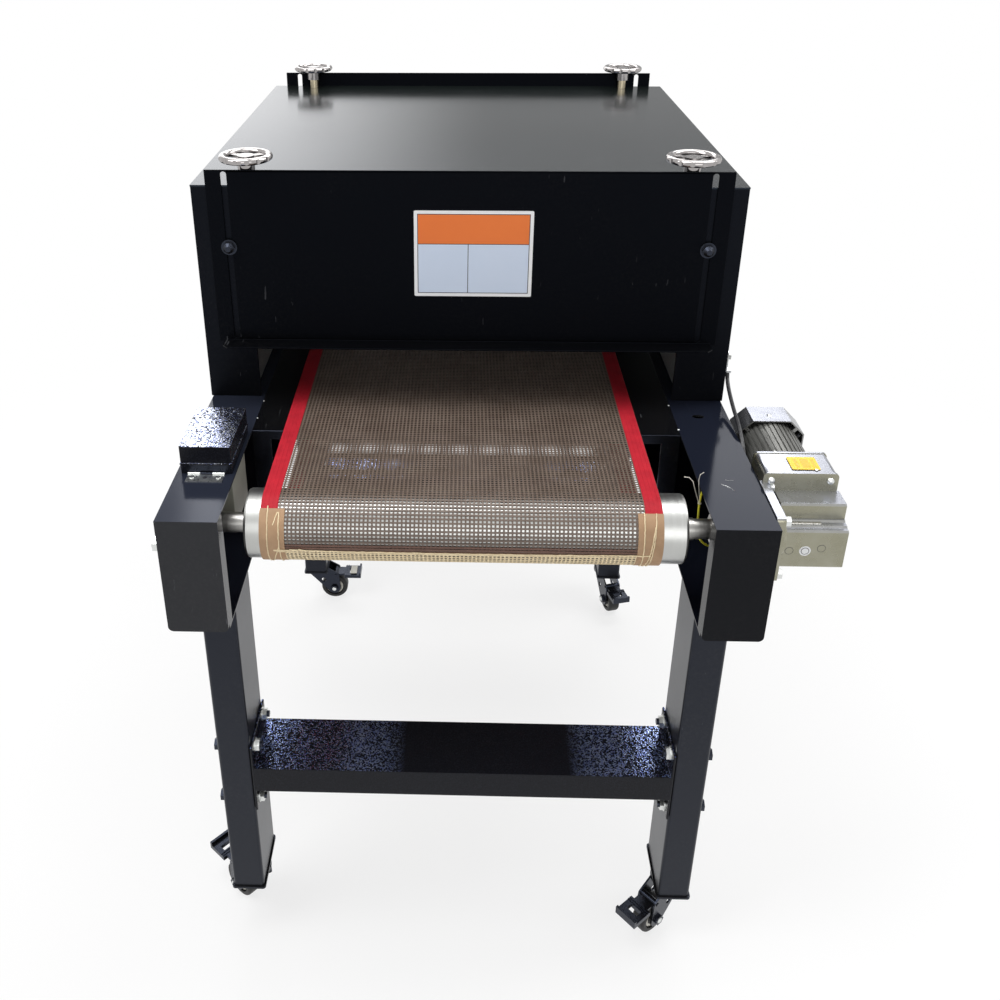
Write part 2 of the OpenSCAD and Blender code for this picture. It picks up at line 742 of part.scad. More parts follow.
// The ribbed motor body
module motor_body() {
  rib_depth = 1.6;
  rib_gap = 2;
  color([0.55, 0.55, 0.53]) placed() translate([motor_cx, adapter_y1, motor_cz]) rotate([-90, 0, 0])
    difference() {
      linear_extrude(motor_l) difference() {
        circle(d = motor_d, $fn = 120);
        for (i = [0:rib_count - 1]) rotate(i * 360 / rib_count)
          translate([motor_d / 2 - rib_depth, -rib_gap / 2]) square([2 * rib_depth, rib_gap]);
      }
      rod_z([0, 0, -over], rotor_d + 2 * fit, motor_l + 2 * over);
      rod_z([0, 0, core_start - seat], core_d + 2 * seat, core_l + 2 * seat);
    }
}

// The eight-sided fan cover, open towards the gearbox, with slots in its back
module fan_cover() {
  half = cover_w / 2;
  slots = 12;
  slot_in = 12;
  slot_out = 32;
  slot_t = 4;
  post_in = motor_d / 2 - 2 * over;
  color([0.5, 0.5, 0.48]) placed() translate([motor_cx, cover_y0, motor_cz]) rotate([-90, 0, 0])
    difference() {
      linear_extrude(cover_l) eight_sides(half, cover_corner);
      translate([0, 0, -over]) linear_extrude(cover_l - cover_wall + over)
        eight_sides(half - cover_wall, cover_corner - cover_wall / 2);
      for (i = [0:slots - 1]) rotate(i * 360 / slots)
        translate([slot_in, -slot_t / 2, cover_l - cover_wall - over])
          cube([slot_out - slot_in, slot_t, cover_wall + 2 * over]);
    }
  color([0.5, 0.5, 0.48]) placed() translate([motor_cx, cover_y0, motor_cz]) rotate([-90, 0, 0])
    for (i = [0:3]) rotate(45 + i * 90) translate([post_in + 2 * over, -slot_t / 2, 0])
      cube([cover_w / 2 * cover_tab_share - post_in - 2 * over, slot_t, cover_l - cover_wall]);
}

cover_tab_share = 1.08;

module eight_sides(half, corner) {
  flat = half - corner;
  polygon([[half, -flat], [half, flat], [flat, half], [-flat, half], [-half, flat], [-half, -flat],
    [-flat, -half], [flat, -half]]);
}

// The rotor in the motor, and the fan on its shaft
module motor_fan() {
  blades = 8;
  blade_r = 30;
  blade_t = 1.6;
  blade_l = 12;
  hub_r = 9;
  y0 = motor_l + 2 * over;
  color("dimgray") placed() translate([motor_cx, adapter_y1, motor_cz]) rotate([-90, 0, 0]) {
    rod_z([0, 0, -rotor_seat + seat], rotor_d, motor_l + rotor_seat + blade_l);
    rod_z([0, 0, core_start], core_d, core_l);
    translate([0, 0, y0]) cylinder(r = hub_r, h = blade_l - over, $fn = 32);
    for (i = [0:blades - 1]) rotate(i * 360 / blades) translate([0, -blade_t / 2, y0])
      cube([blade_r, blade_t, blade_l - 2 * over]);
  }
}

// Places along the motor's lead, from the clip on the housing's side to the motor
lead_places = [[329, 8, 710.2], [329, 7.6, 706], [328.6, 2, 700], [327.6, -14, 694], [326.4, -45, 687],
  [325.6, -80, 681], [325.4, -105, 671], [325.5, -125, 656], [326.2, -138, 645]];
// Places along the earth wire, from the arm's ceiling down behind the shaft to the arm's side
wire_places = [[300, -150, 668.5], [286, -160, 665], [270, -176, 658], [262, -190, 646], [260, -198, 628],
  [262, -199, 606], [272, -196, 590], [290, -190, 582], [308, -186, 580], [319, -185, 580]];

module motor_lead() {
  color([0.1, 0.1, 0.12]) placed() tube(lead_places, lead_d, [1, 0, 0]);
}

module earth_wire() {
  color([0.75, 0.78, 0.15]) placed() tube(wire_places, wire_d, [0, 1, 0]);
}

// The zinc clip that holds the lead on the housing's side, with its screw
module lead_clip() {
  clip_w = 12;
  clip_t = 1.5;
  clip_y = 2;
  low = 712;
  high = 738;
  color(zinc) placed() {
    block([half_house, clip_y, low], [half_house + clip_t, clip_y + clip_w, high]);
    block([half_house + clip_t, clip_y, low - clip_t],
      [half_house + clip_t + lead_d, clip_y + clip_w, low + clip_t]);
    hex_x([half_house + clip_t, clip_y + clip_w / 2, high - clip_w / 2], clip_w - clip_t, 2 * clip_t);
  }
}

// Swivel heads under the legs
module caster_heads() {
  color(paint) placed() for (at = leg_places) translate([at[0], at[1], 0]) {
    cylinder_at(cast_h - head_t, head_d, head_t);
    rod_z([0, 0, cast_h - over], stem_d, stem_l);
    rod_z([0, 0, cast_h - head_t - head_pin], stem_d, head_pin + over);
  }
}

head_d = 40;
head_t = 5;
head_pin = 11;
stem_l = 24;

module cylinder_at(z, d, h) {
  translate([0, 0, z]) cylinder(d = d, h = h, $fn = 48);
}

module at_caster(i) {
  translate([leg_places[i][0], leg_places[i][1], 0]) rotate(turns[i]) children();
}

fork_t = 2.5;
fork_gap = 1.5;
fork_top_d = 44;
head_share = 0.8;
hole_share = 0.35;
hole_rise_share = 1.6;
fork_top_t = 4;
fork_z = cast_h - head_t - seat;
cast_r = cast_d / 2;
pedal_pivot_x = cast_trail + 4;
pedal_pivot_z = cast_r + 30;
pedal_pin_d = 5;

// The stamped fork: a top disc and two cheeks with a teardrop hole, and the axle
module caster_fork(i) {
  y0 = cast_w / 2 + fork_gap;
  nose = 12;
  hole = 4.5;
  head_x = fork_top_d / 2 * head_share;
  hole_x = cast_trail * hole_share;
  axle_out = 3;
  color(paint) placed() at_caster(i) {
    difference() {
      union() {
        cylinder_at(fork_z - fork_top_t, fork_top_d, fork_top_t);
        for (s = [-1, 1]) translate([0, s * y0 + (s < 0 ? 0 : fork_t), 0]) rotate([90, 0, 0])
          linear_extrude(fork_t) {
            translate([cast_trail, cast_r]) circle(r = nose, $fn = 40);
            translate([pedal_pivot_x, pedal_pivot_z]) circle(r = nose / 2, $fn = 32);
            polygon([[-head_x, fork_z - over], [-head_x, fork_z - 3 * fork_top_t],
              [cast_trail - nose * cos(30), cast_r - nose * sin(30)],
              [cast_trail + nose, cast_r], [pedal_pivot_x + nose / 2, pedal_pivot_z],
              [pedal_pivot_x + nose / 4, pedal_pivot_z + nose / 2 * cos(30)], [head_x, fork_z - over]]);
          }
      }
      cylinder_at(fork_z - fork_top_t - over, stem_d + 2 * fit, fork_top_t + 2 * over);
      translate([hole_x, y0 + fork_t + over, cast_r + nose * hole_rise_share]) rotate([90, 0, 0])
        cylinder(r = hole, h = 2 * y0 + 2 * fork_t + 2 * over, $fn = 32);
      rod_y([pedal_pivot_x, -y0 - fork_t - over, pedal_pivot_z], pedal_pin_d + 2 * fit,
        2 * (y0 + fork_t + over));
    }
    rod_y([cast_trail, -y0 - fork_t - axle_out, cast_r], cast_axle_d, 2 * (y0 + fork_t + axle_out));
    for (s = [0, 1]) mirror([0, s, 0]) translate([cast_trail, y0 + fork_t, cast_r]) rotate([-90, 0, 0])
      cylinder(d = bolt_head / cos(30), h = axle_out + over, $fn = 6);
  }
}

// The wheel: a round-shouldered tyre on a recessed hub
module caster_wheel(i) {
  shoulder = 3;
  recess = 2.5;
  hub_r = 7;
  tyre_in = cast_r - 7;
  w = cast_w / 2;
  color([0.08, 0.08, 0.08]) placed() at_caster(i) translate([cast_trail, 0, cast_r]) rotate([90, 0, 0])
    rotate_extrude($fn = 72) polygon([[cast_axle_d / 2 + fit, -w], [hub_r, -w], [hub_r, -w + recess],
      [tyre_in, -w + recess], [tyre_in, -w], [cast_r - shoulder, -w],
      [cast_r - shoulder / 3, -w + shoulder / 3],
      [cast_r, -w + shoulder], [cast_r, w - shoulder], [cast_r - shoulder / 3, w - shoulder / 3],
      [cast_r - shoulder, w], [tyre_in, w], [tyre_in, w - recess], [hub_r, w - recess], [hub_r, w],
      [cast_axle_d / 2 + fit, w]]);
}

// The brake pedal: a ribbed tread with a window, on a pin through the fork
module caster_pedal(i) {
  y0 = cast_w / 2 + fork_gap - seat;
  tread_x = 51;
  tread_t = 3.5;
  arm_z = pedal_pivot_z;
  window = [9, 16];
  lip_h = 5;
  rib = 1.2;
  color(paint) placed() at_caster(i) {
    rod_y([pedal_pivot_x, -y0 - fork_t - seat - over, arm_z], pedal_pin_d, 2 * (y0 + fork_t + seat + over));
    rod_y([pedal_pivot_x, -y0, arm_z], 2 * pedal_pin_d - over, 2 * y0);
    block([pedal_pivot_x, -y0, arm_z - tread_t / 2], [tread_x + over, y0, arm_z + tread_t / 2]);
    difference() {
      block([tread_x, -pedal_w / 2, arm_z - tread_t - over], [pedal_tip, pedal_w / 2, arm_z + tread_t / 2]);
      block([tread_x + window[0], -window[1] / 2, arm_z - 2 * tread_t],
        [tread_x + 2 * window[0], window[1] / 2, arm_z + tread_t]);
    }
    block([pedal_tip - tread_t, -pedal_w / 2, arm_z + tread_t / 2 - over],
      [pedal_tip, pedal_w / 2, arm_z + tread_t / 2 + lip_h]);
    for (x = [tread_x + 2 * rib, tread_x + 5 * rib]) block([x, -pedal_w / 2, arm_z + tread_t / 2 - rib],
      [x + rib, pedal_w / 2, arm_z + tread_t / 2 + rib]);
  }
}

module caster_fork_front_left() {
  caster_fork(0);
}

module caster_fork_front_right() {
  caster_fork(1);
}

module caster_fork_rear_left() {
  caster_fork(2);
}

module caster_fork_rear_right() {
  caster_fork(3);
}

module caster_wheel_front_left() {
  caster_wheel(0);
}

module caster_wheel_front_right() {
  caster_wheel(1);
}

module caster_wheel_rear_left() {
  caster_wheel(2);
}

module caster_wheel_rear_right() {
  caster_wheel(3);
}

module caster_pedal_front_left() {
  caster_pedal(0);
}

module caster_pedal_front_right() {
  caster_pedal(1);
}

module caster_pedal_rear_left() {
  caster_pedal(2);
}

module caster_pedal_rear_right() {
  caster_pedal(3);
}

// One height panel in front of the housing: slots, and a lip that turns forward
module height_panel(extra) {
  z0 = panel_z + extra;
  z1 = z0 + panel_h;
  y1 = -seat;
  y0 = y1 - panel_sheet;
  lip_x = panel_w / 2 - panel_lip_inset;
  lip_y = y0 - panel_lip;
  difference() {
    block([-panel_w / 2, y0, z0], [panel_w / 2, y1, z1]);
    for (s = [-1, 1]) on_side(s) {
      block([slot_x - slot_w / 2, y0 - over, z0 + slot_foot + slot_w / 2],
        [slot_x + slot_w / 2, y1 + over, z1 - slot_head - slot_w / 2]);
      for (z = [z0 + slot_foot + slot_w / 2, z1 - slot_head - slot_w / 2])
        rod_y([slot_x, y0 - over, z], slot_w, panel_sheet + 2 * over);
    }
  }
  translate([0, 0, z0]) linear_extrude(panel_sheet)
    polygon([[-lip_x, y0 + over], [-lip_x, lip_y + panel_lip_inset], [-lip_x + panel_lip_inset, lip_y],
      [lip_x - panel_lip_inset, lip_y], [lip_x, lip_y + panel_lip_inset], [lip_x, y0 + over]]);
}

module at_rear() {
  translate([0, house_d, 0]) mirror([0, 1, 0]) children();
}

module front_panel() {
  color(paint) placed() height_panel(0);
}

module rear_panel() {
  color(paint) placed() at_rear() height_panel(rear_panel_extra);
}

module each_stud() {
  for (s = [-1, 1]) on_side(s) {
    translate([slot_x, 0, stud_place]) children();
    at_rear() translate([slot_x, 0, stud_place]) children();
  }
}

cap_flange_d = 19;
cap_flange_h = 1.6;
cap_hex = 13;
cap_h = 8;
cap_hex_share = 0.75;

module panel_studs() {
  y0 = -2 * seat - panel_sheet - cap_flange_h - cap_h / 2;
  color(zinc) placed() each_stud() {
    rod_y([0, y0, 0], stud_d, house_sheet - y0);
    rod_y([0, house_sheet, 0], stud_d + 2 * over, 2 * over);
  }
}

// Black cap nuts with a flange
module cap_nuts() {
  y1 = -2 * seat - panel_sheet;
  color(paint) placed() each_stud() difference() {
    union() {
      rod_y([0, y1 - cap_flange_h, 0], cap_flange_d, cap_flange_h);
      translate([0, y1, 0]) rotate([90, 0, 0])
        cylinder(d = cap_hex / cos(30), h = cap_h * cap_hex_share, $fn = 6);
      translate([0, y1 - cap_h * cap_hex_share, 0]) rotate([90, 0, 0])
        cylinder(d1 = cap_hex, d2 = cap_hex / 2, h = cap_h / 2, $fn = 40);
    }
    rod_y([0, y1 - cap_flange_h - cap_h / 2 - seat, 0], stud_d + 2 * fit, cap_h + over);
  }
}

// Brass collars on the housing's top
module screw_collars() {
  color([0.8, 0.68, 0.4]) placed() each_screw() difference() {
    rod_z([0, 0, house_top], collar_d, collar_h);
    rod_z([0, 0, house_top - over], screw_d + 2 * fit, collar_h + 2 * over);
  }
}

// A handwheel and the screw that it turns
module handwheel(x, y) {
  rim_r = wheel_d / 2 - rim_w / 2;
  disc_d = 30;
  disc_h = 2.5;
  spokes = 3;
  spoke_w = 9;
  spoke_t = 4;
  hub_z = collar_top + seat;
  color(zinc) placed() translate([x, y, 0]) {
    rod_z([0, 0, house_top - screw_drop], screw_d, hub_z - house_top + screw_drop + over);
    rod_z([0, 0, hub_z], hub_d, wheel_mid - hub_z);
    rod_z([0, 0, wheel_mid - rim_h / 2 - disc_h], disc_d, disc_h);
    rod_z([0, 0, wheel_mid - spoke_t / 2], hub_d, spoke_t);
    for (i = [0:spokes - 1]) rotate(i * 360 / spokes + 30)
      block([0, -spoke_w / 2, wheel_mid - spoke_t / 2], [rim_r, spoke_w / 2, wheel_mid + spoke_t / 2 - over]);
    difference() {
      translate([0, 0, wheel_mid]) rotate_extrude($fn = 84) translate([rim_r, 0]) {
        for (s = [-1, 1]) translate([s * (rim_w - rim_h) / 2, 0]) circle(d = rim_h, $fn = 28);
        square([rim_w - rim_h, rim_h], center = true);
      }
      for (i = [0:lobe_count - 1]) rotate(i * 360 / lobe_count)
        rod_z([wheel_d / 2 + lobe_r * lobe_share, 0, wheel_mid - rim_h], 2 * lobe_r, 2 * rim_h);
    }
  }
}

lobe_r = 4.5;
lobe_share = 0.72;

module handwheel_front_left() {
  handwheel(-screw_x, screw_y);
}

module handwheel_front_right() {
  handwheel(screw_x, screw_y);
}

module handwheel_rear_left() {
  handwheel(-screw_x, house_d - screw_y);
}

module handwheel_rear_right() {
  handwheel(screw_x, house_d - screw_y);
}

lug_w = 26;
lug_t = 4;
lug_y = 6.4;
tray_y0 = 26;
holder = [10, 20];
lamp_share = 0.6;

// The lamp tray: a shallow box, open below, with a lug at each corner for a jacking screw
module lamp_tray() {
  half = tray_w / 2;
  color("gainsboro") placed() difference() {
    union() {
      difference() {
        block([-half, tray_y0, tray_top - tray_h], [half, house_d - tray_y0, tray_top]);
        block([-half + tray_sheet, tray_y0 + tray_sheet, tray_top - tray_h - over],
          [half - tray_sheet, house_d - tray_y0 - tray_sheet, tray_top - tray_sheet]);
      }
      for (s = [-1, 1]) on_side(s) {
        block([half - lug_w, screw_y - lug_y, tray_top],
          [screw_x + lug_y, tray_y0 + lug_w, tray_top + lug_t]);
        block([half - lug_w, house_d - tray_y0 - lug_w, tray_top],
          [screw_x + lug_y, house_d - screw_y + lug_y, tray_top + lug_t]);
      }
    }
    each_screw() rod_z([0, 0, tray_top - over], screw_d + 2 * fit, lug_t + 2 * over);
  }
}

module each_lamp() {
  span = house_d - 2 * tray_y0;
  for (i = [0:lamp_count - 1])
    translate([0, tray_y0 + span * (i + 0.5) / lamp_count, tray_top - tray_h * lamp_share]) children();
}

module lamp_tubes() {
  l = tray_w - 2 * tray_sheet - 2 * seat;
  color([0.9, 0.85, 0.8]) placed() each_lamp() rod_x([-l / 2, 0, 0], lamp_d, l);
}

// Ceramic blocks that hang from the tray and carry the tubes' ends
module lamp_holders() {
  color("white") placed() each_lamp() for (s = [-1, 1]) on_side(s) difference() {
    block([tray_w / 2 - tray_sheet - holder[0] - lamp_d, -holder[1] / 2, -lamp_d / 2 - 2 * tray_sheet],
      [tray_w / 2 - tray_sheet - lamp_d, holder[1] / 2, tray_h * lamp_share - tray_sheet]);
    rod_x([tray_w / 2 - tray_sheet - holder[0] - lamp_d - over, 0, 0], lamp_d + 2 * fit,
      holder[0] + 2 * over);
  }
}

// The belt, a closed loop round both rollers and over the deck
module belt() {
  color([0.33, 0.26, 0.22]) placed() translate([belt_shift - belt_w / 2, 0, 0]) rotate([90, 0, 90])
    linear_extrude(belt_w) difference() {
      loop_outline(belt_out);
      loop_outline(belt_in);
    }
}

// A roller: a tube with an end disc and rounded shoulders
module roller(y) {
  end_t = 8;
  chamfer = 3;
  translate([-roller_l / 2, y, axis_z]) rotate([0, 90, 0]) rotate_extrude($fn = 96)
    polygon([[shaft_d / 2, 0], [roller_r - chamfer, 0], [roller_r - chamfer / 3, chamfer / 3],
      [roller_r, chamfer], [roller_r, roller_l - chamfer], [roller_r - chamfer / 3, roller_l - chamfer / 3],
      [roller_r - chamfer, roller_l], [shaft_d / 2, roller_l], [shaft_d / 2, roller_l - end_t],
      [roller_r - roller_wall, roller_l - end_t], [roller_r - roller_wall, end_t], [shaft_d / 2, end_t]]);
}

module drive_roller() {
  color("silver") placed() roller(-drive_y);
}

module idler_roller() {
  color("silver") placed() roller(idler_place);
}

collar_l = 9;
ring_t = 3;
ring_d = 32;

// The drive shaft runs from the left bearing into the gearbox
module drive_shaft() {
  x0 = -arm_out + arm_sheet + seat;
  color("gray") placed() {
    rod_x([x0, -drive_y, axis_z], shaft_d, arm_out + shaft_reach - x0);
    rod_x([roller_l / 2 + 2 * over, -drive_y, axis_z], shaft_d + 2 * over, collar_l);
    rod_x([arm_in + collar_l + over, -drive_y, axis_z], ring_d, ring_t);
  }
}

module idler_shaft() {
  x0 = arm_out - arm_sheet - seat;
  color("gray") placed() rod_x([-x0, idler_place, axis_z], shaft_d, 2 * x0);
}

// The light box that hangs inside the left arm, under the hinged box
module wiring_box() {
  w = 36;
  h = 60;
  d = 70;
  y0 = -207;
  color([0.6, 0.6, 0.55]) placed() on_side(-1)
    block([arm_in + over, y0, arm_top - arm_sheet - h], [arm_in + w, y0 + d, arm_top - arm_sheet]);
}

hinge_pin = 1.6;
knuckle_d = 3;
screw_share = 0.36;
knuckle_x = [sbox_x0 + sbox_w / 2 - hinge_l / 6, sbox_x0 + sbox_w / 2 + hinge_l / 6];

// The hinge's fixed leaf on the arm's top, with its knuckle and two screws
module hinge_leaf() {
  screw = 5.5;
  x0 = sbox_x0 + (sbox_w - hinge_l) / 2;
  color(zinc) placed() on_side(-1) {
    difference() {
      block([x0, -sbox_y - hinge_leaf_d, arm_top],
        [x0 + hinge_l, -sbox_y - knuckle_d / 2, arm_top + hinge_t]);
      block([knuckle_x[0] - seat, -sbox_y - knuckle_d - seat, arm_top - over],
        [knuckle_x[1] + seat, -sbox_y, arm_top + hinge_t + over]);
    }
    rod_x([x0, -sbox_y - knuckle_d / 2, arm_top + knuckle_d / 2], knuckle_d, knuckle_x[0] - seat - x0);
    rod_x([knuckle_x[1] + seat, -sbox_y - knuckle_d / 2, arm_top + knuckle_d / 2], knuckle_d,
      x0 + hinge_l - knuckle_x[1] - seat);
    rod_x([x0, -sbox_y - knuckle_d / 2, arm_top + knuckle_d / 2], hinge_pin, hinge_l);
    for (s = [-1, 1])
      rod_z([x0 + hinge_l / 2 + s * hinge_l * screw_share, -sbox_y - hinge_leaf_d / 2, arm_top], screw,
        hinge_t + over);
  }
}

sbox_z = arm_top + seat;

// The box's base frame, open below over the hole in the arm
module cover_base() {
  color(paint) placed() on_side(-1) difference() {
    union() {
      block([sbox_x0, -sbox_y + seat, sbox_z], [sbox_x0 + sbox_w, -sbox_y + sbox_d, sbox_z + sbox_base_h]);
      block([knuckle_x[0], -sbox_y - knuckle_d / 2, sbox_z],
        [knuckle_x[1], -sbox_y + over, sbox_z + knuckle_d / 2]);
      rod_x([knuckle_x[0], -sbox_y - knuckle_d / 2, arm_top + knuckle_d / 2], knuckle_d - 2 * seat,
        knuckle_x[1] - knuckle_x[0]);
    }
    rod_x([knuckle_x[0] - over, -sbox_y - knuckle_d / 2, arm_top + knuckle_d / 2], hinge_pin + 2 * fit,
      knuckle_x[1] - knuckle_x[0] + 2 * over);
    block([sbox_x0 + sbox_wall, -sbox_y + seat + sbox_wall, sbox_z - over],
      [sbox_x0 + sbox_w - sbox_wall, -sbox_y + sbox_d - sbox_wall, sbox_z + sbox_base_h + over]);
  }
}

// The box's lid, a little wider than the base, with a rim round its lower edge
module cover_lid() {
  edge = 1;
  z0 = sbox_z + sbox_base_h;
  y0 = -sbox_y + seat - edge;
  y1 = -sbox_y + sbox_d + edge;
  color([0.2, 0.2, 0.22]) placed() on_side(-1) difference() {
    union() {
      block([sbox_x0, y0 + edge, z0], [sbox_x0 + sbox_w, y1 - edge, z0 + sbox_lid_h]);
      block([sbox_x0 - edge, y0, z0], [sbox_x0 + sbox_w + edge, y1, z0 + 2 * edge]);
    }
    block([sbox_x0 + sbox_wall, y0 + edge + sbox_wall, z0 - over],
      [sbox_x0 + sbox_w - sbox_wall, y1 - edge - sbox_wall, z0 + sbox_lid_h - sbox_wall]);
  }
}

arm_left();
arm_right();
leg_front_left();
leg_front_right();
leg_rear_left();
leg_rear_right();
crossbar_front();
crossbar_rear();
leg_bolts();
leg_nuts();
deck_plate();
housing_shell();
top_plate();
tunnel_liner();
drive_bearing();
idler_bearings();
bearing_bolts();
tension_bolts();
gear_case();
gearbox_bolts();
motor_body();
fan_cover();
motor_lead();
lead_clip();
caster_heads();
panel_studs();
cap_nuts();
screw_collars();
earth_wire();
wiring_box();
hinge_leaf();
belt();
front_panel();
rear_panel();
cover_base();
cover_lid();
drive_roller();
drive_shaft();
idler_roller();
idler_shaft();
motor_fan();
lamp_tray();
lamp_tubes();
lamp_holders();
handwheel_front_left();
handwheel_front_right();
handwheel_rear_left();
handwheel_rear_right();
caster_fork_front_left();
caster_fork_front_right();
caster_fork_rear_left();
caster_fork_rear_right();
caster_wheel_front_left();
caster_wheel_front_right();
caster_wheel_rear_left();
caster_wheel_rear_right();
caster_pedal_front_left();
caster_pedal_front_right();
caster_pedal_rear_left();
caster_pedal_rear_right();
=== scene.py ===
import bpy, bmesh, math, random
from mathutils import Matrix, Vector


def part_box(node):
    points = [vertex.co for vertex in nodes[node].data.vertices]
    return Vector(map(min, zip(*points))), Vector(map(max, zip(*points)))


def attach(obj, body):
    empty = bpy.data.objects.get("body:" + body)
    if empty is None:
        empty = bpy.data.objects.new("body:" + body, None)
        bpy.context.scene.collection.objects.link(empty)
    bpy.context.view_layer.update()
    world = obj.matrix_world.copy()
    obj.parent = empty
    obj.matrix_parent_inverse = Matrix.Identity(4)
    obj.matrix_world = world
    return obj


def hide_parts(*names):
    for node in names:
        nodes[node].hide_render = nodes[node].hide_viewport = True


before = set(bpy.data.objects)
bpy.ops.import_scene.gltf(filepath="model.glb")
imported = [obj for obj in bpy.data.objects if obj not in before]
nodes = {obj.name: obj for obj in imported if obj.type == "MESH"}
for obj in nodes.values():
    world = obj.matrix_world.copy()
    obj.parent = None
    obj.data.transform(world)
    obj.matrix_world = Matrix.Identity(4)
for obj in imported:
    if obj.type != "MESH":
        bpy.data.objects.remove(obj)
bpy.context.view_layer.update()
scene = bpy.context.scene
mm = 0.001
print("frame loaded")

# Sizes below are in millimetres in the machine's own frame: x from its middle, y from the housing's front
topLow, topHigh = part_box("top_plate")
midX, frontY = (topLow[0] + topHigh[0]) / 2, topLow[1]
upward, forward, rightward = Vector((0, 0, 1)), Vector((0, -1, 0)), Vector((1, 0, 0))


def place(x, y, z):
    return Vector((midX + x * mm, frontY + y * mm, z * mm))


# where the photograph was taken from: millimetres, degrees and shares of the picture
camera = dict(at=(-6.4, -1187.1, 1277.0), yaw=-1.93, pitch=25.93, roll=-0.24, sensor=36, lens=37.63,
              shiftX=0.0714, shiftY=-0.1216)


def makeCamera(c):
    yaw, pitch, roll = (math.radians(c[k]) for k in ("yaw", "pitch", "roll"))
    ahead = Vector((math.sin(yaw) * math.cos(pitch), math.cos(yaw) * math.cos(pitch), -math.sin(pitch)))
    right = Vector((math.cos(yaw), -math.sin(yaw), 0))
    up = right.cross(ahead)
    right, up = math.cos(roll) * right + math.sin(roll) * up, math.cos(roll) * up - math.sin(roll) * right
    data = bpy.data.cameras.new("photoCamera")
    data.sensor_width, data.lens = c["sensor"], c["lens"]
    data.shift_x, data.shift_y = c["shiftX"], c["shiftY"]
    obj = bpy.data.objects.new("photoCamera", data)
    turned = Matrix((right, up, -ahead)).transposed().to_4x4()
    obj.matrix_world = Matrix.Translation(place(*c["at"])) @ turned
    scene.collection.objects.link(obj)
    scene.camera = obj


makeCamera(camera)


# nodes that light, floor and materials share
def link(tree, a, b):
    tree.links.new(a, b)


def mathNode(tree, op, a, b=None, clamp=False):
    node = tree.nodes.new("ShaderNodeMath")
    node.operation, node.use_clamp = op, clamp
    for i, v in enumerate((a, b)):
        if v is None:
            continue
        if isinstance(v, (int, float)):
            node.inputs[i].default_value = v
        else:
            link(tree, v, node.inputs[i])
    return node.outputs[0]


def mixColor(tree, fac, a, b, mode="MIX"):
    node = tree.nodes.new("ShaderNodeMix")
    node.data_type, node.blend_type = "RGBA", mode
    for i, v in ((0, fac), (6, a), (7, b)):
        if isinstance(v, (int, float)):
            node.inputs[i].default_value = v
        elif isinstance(v, tuple):
            node.inputs[i].default_value = v if len(v) == 4 else v + (1,)
        else:
            link(tree, v, node.inputs[i])
    return node.outputs[2]


def ramp(tree, value, low, high, start=0.0, end=1.0, smooth=False):
    node = tree.nodes.new("ShaderNodeMapRange")
    node.interpolation_type = "SMOOTHSTEP" if smooth else "LINEAR"
    link(tree, value, node.inputs["Value"])
    for key, v in (("From Min", low), ("From Max", high), ("To Min", start), ("To Max", end)):
        node.inputs[key].default_value = v
    return node.outputs[0]


def coords(tree, scale=(1, 1, 1)):
    where = tree.nodes.new("ShaderNodeTexCoord")
    mapping = tree.nodes.new("ShaderNodeMapping")
    mapping.inputs["Scale"].default_value = scale
    link(tree, where.outputs["Object"], mapping.inputs["Vector"])
    return mapping.outputs[0]


def noise(tree, vector, scale, detail=2.0, rough=0.5):
    node = tree.nodes.new("ShaderNodeTexNoise")
    link(tree, vector, node.inputs["Vector"])
    for key, v in (("Scale", scale), ("Detail", detail), ("Roughness", rough)):
        if isinstance(v, (int, float)):
            node.inputs[key].default_value = v
        else:
            link(tree, v, node.inputs[key])
    return node.outputs["Fac"]


def mixShader(tree, share, a, b):
    node = tree.nodes.new("ShaderNodeMixShader")
    for i, v in enumerate((share, a, b)):
        link(tree, v, node.inputs[i])
    return node.outputs[0]


# light and floor
studio = dict(sky=0.336, behind=(0.7, 0.9), aside=(-0.24, 0.04), asideGlow=(2.3, 0.5), floorColor=0.9,
              floorReach=14, shadowKept=0.24, shadowFade=(0.7, 1.7))
lamps = [  # name, place (m), size (m), power (W), aimed at (m)
    ("ceilingLeft", (-1.1, -0.6, 2.9), (1.2, 2.4), 58, (0, 0.1, 0.6)),
    ("ceilingRight", (1.3, 0.2, 2.8), (1.0, 2.6), 42, (0, 0.1, 0.6)),
    ("ceilingBack", (0.1, 2.3, 2.5), (2.6, 0.9), 36, (0, 0.2, 0.8)),
    ("frontFill", (0.4, -3.2, 1.5), (2.4, 1.6), 20, (0, 0, 0.5)),
]


def makeLamps():
    for name, at, size, power, aim in lamps:
        data = bpy.data.lights.new(name, "AREA")
        data.shape, data.size, data.size_y, data.energy = "RECTANGLE", size[0], size[1], power
        obj = bpy.data.objects.new(name, data)
        obj.location = at
        obj.rotation_euler = (Vector(aim) - Vector(at)).to_track_quat("-Z", "Y").to_euler()
        scene.collection.objects.link(obj)


def whiteRays(tree):
    rays = tree.nodes.new("ShaderNodeLightPath").outputs
    seen = mathNode(tree, "MAXIMUM", rays["Is Camera Ray"], rays["Is Glossy Ray"])
    return mathNode(tree, "MAXIMUM", seen, rays["Is Transmission Ray"])


def background(tree, strength):
    node = tree.nodes.new("ShaderNodeBackground")
    node.inputs["Color"].default_value = (1, 1, 1, 1)
    if isinstance(strength, (int, float)):
        node.inputs["Strength"].default_value = strength
    else:
        link(tree, strength, node.inputs["Strength"])
    return node.outputs[0]


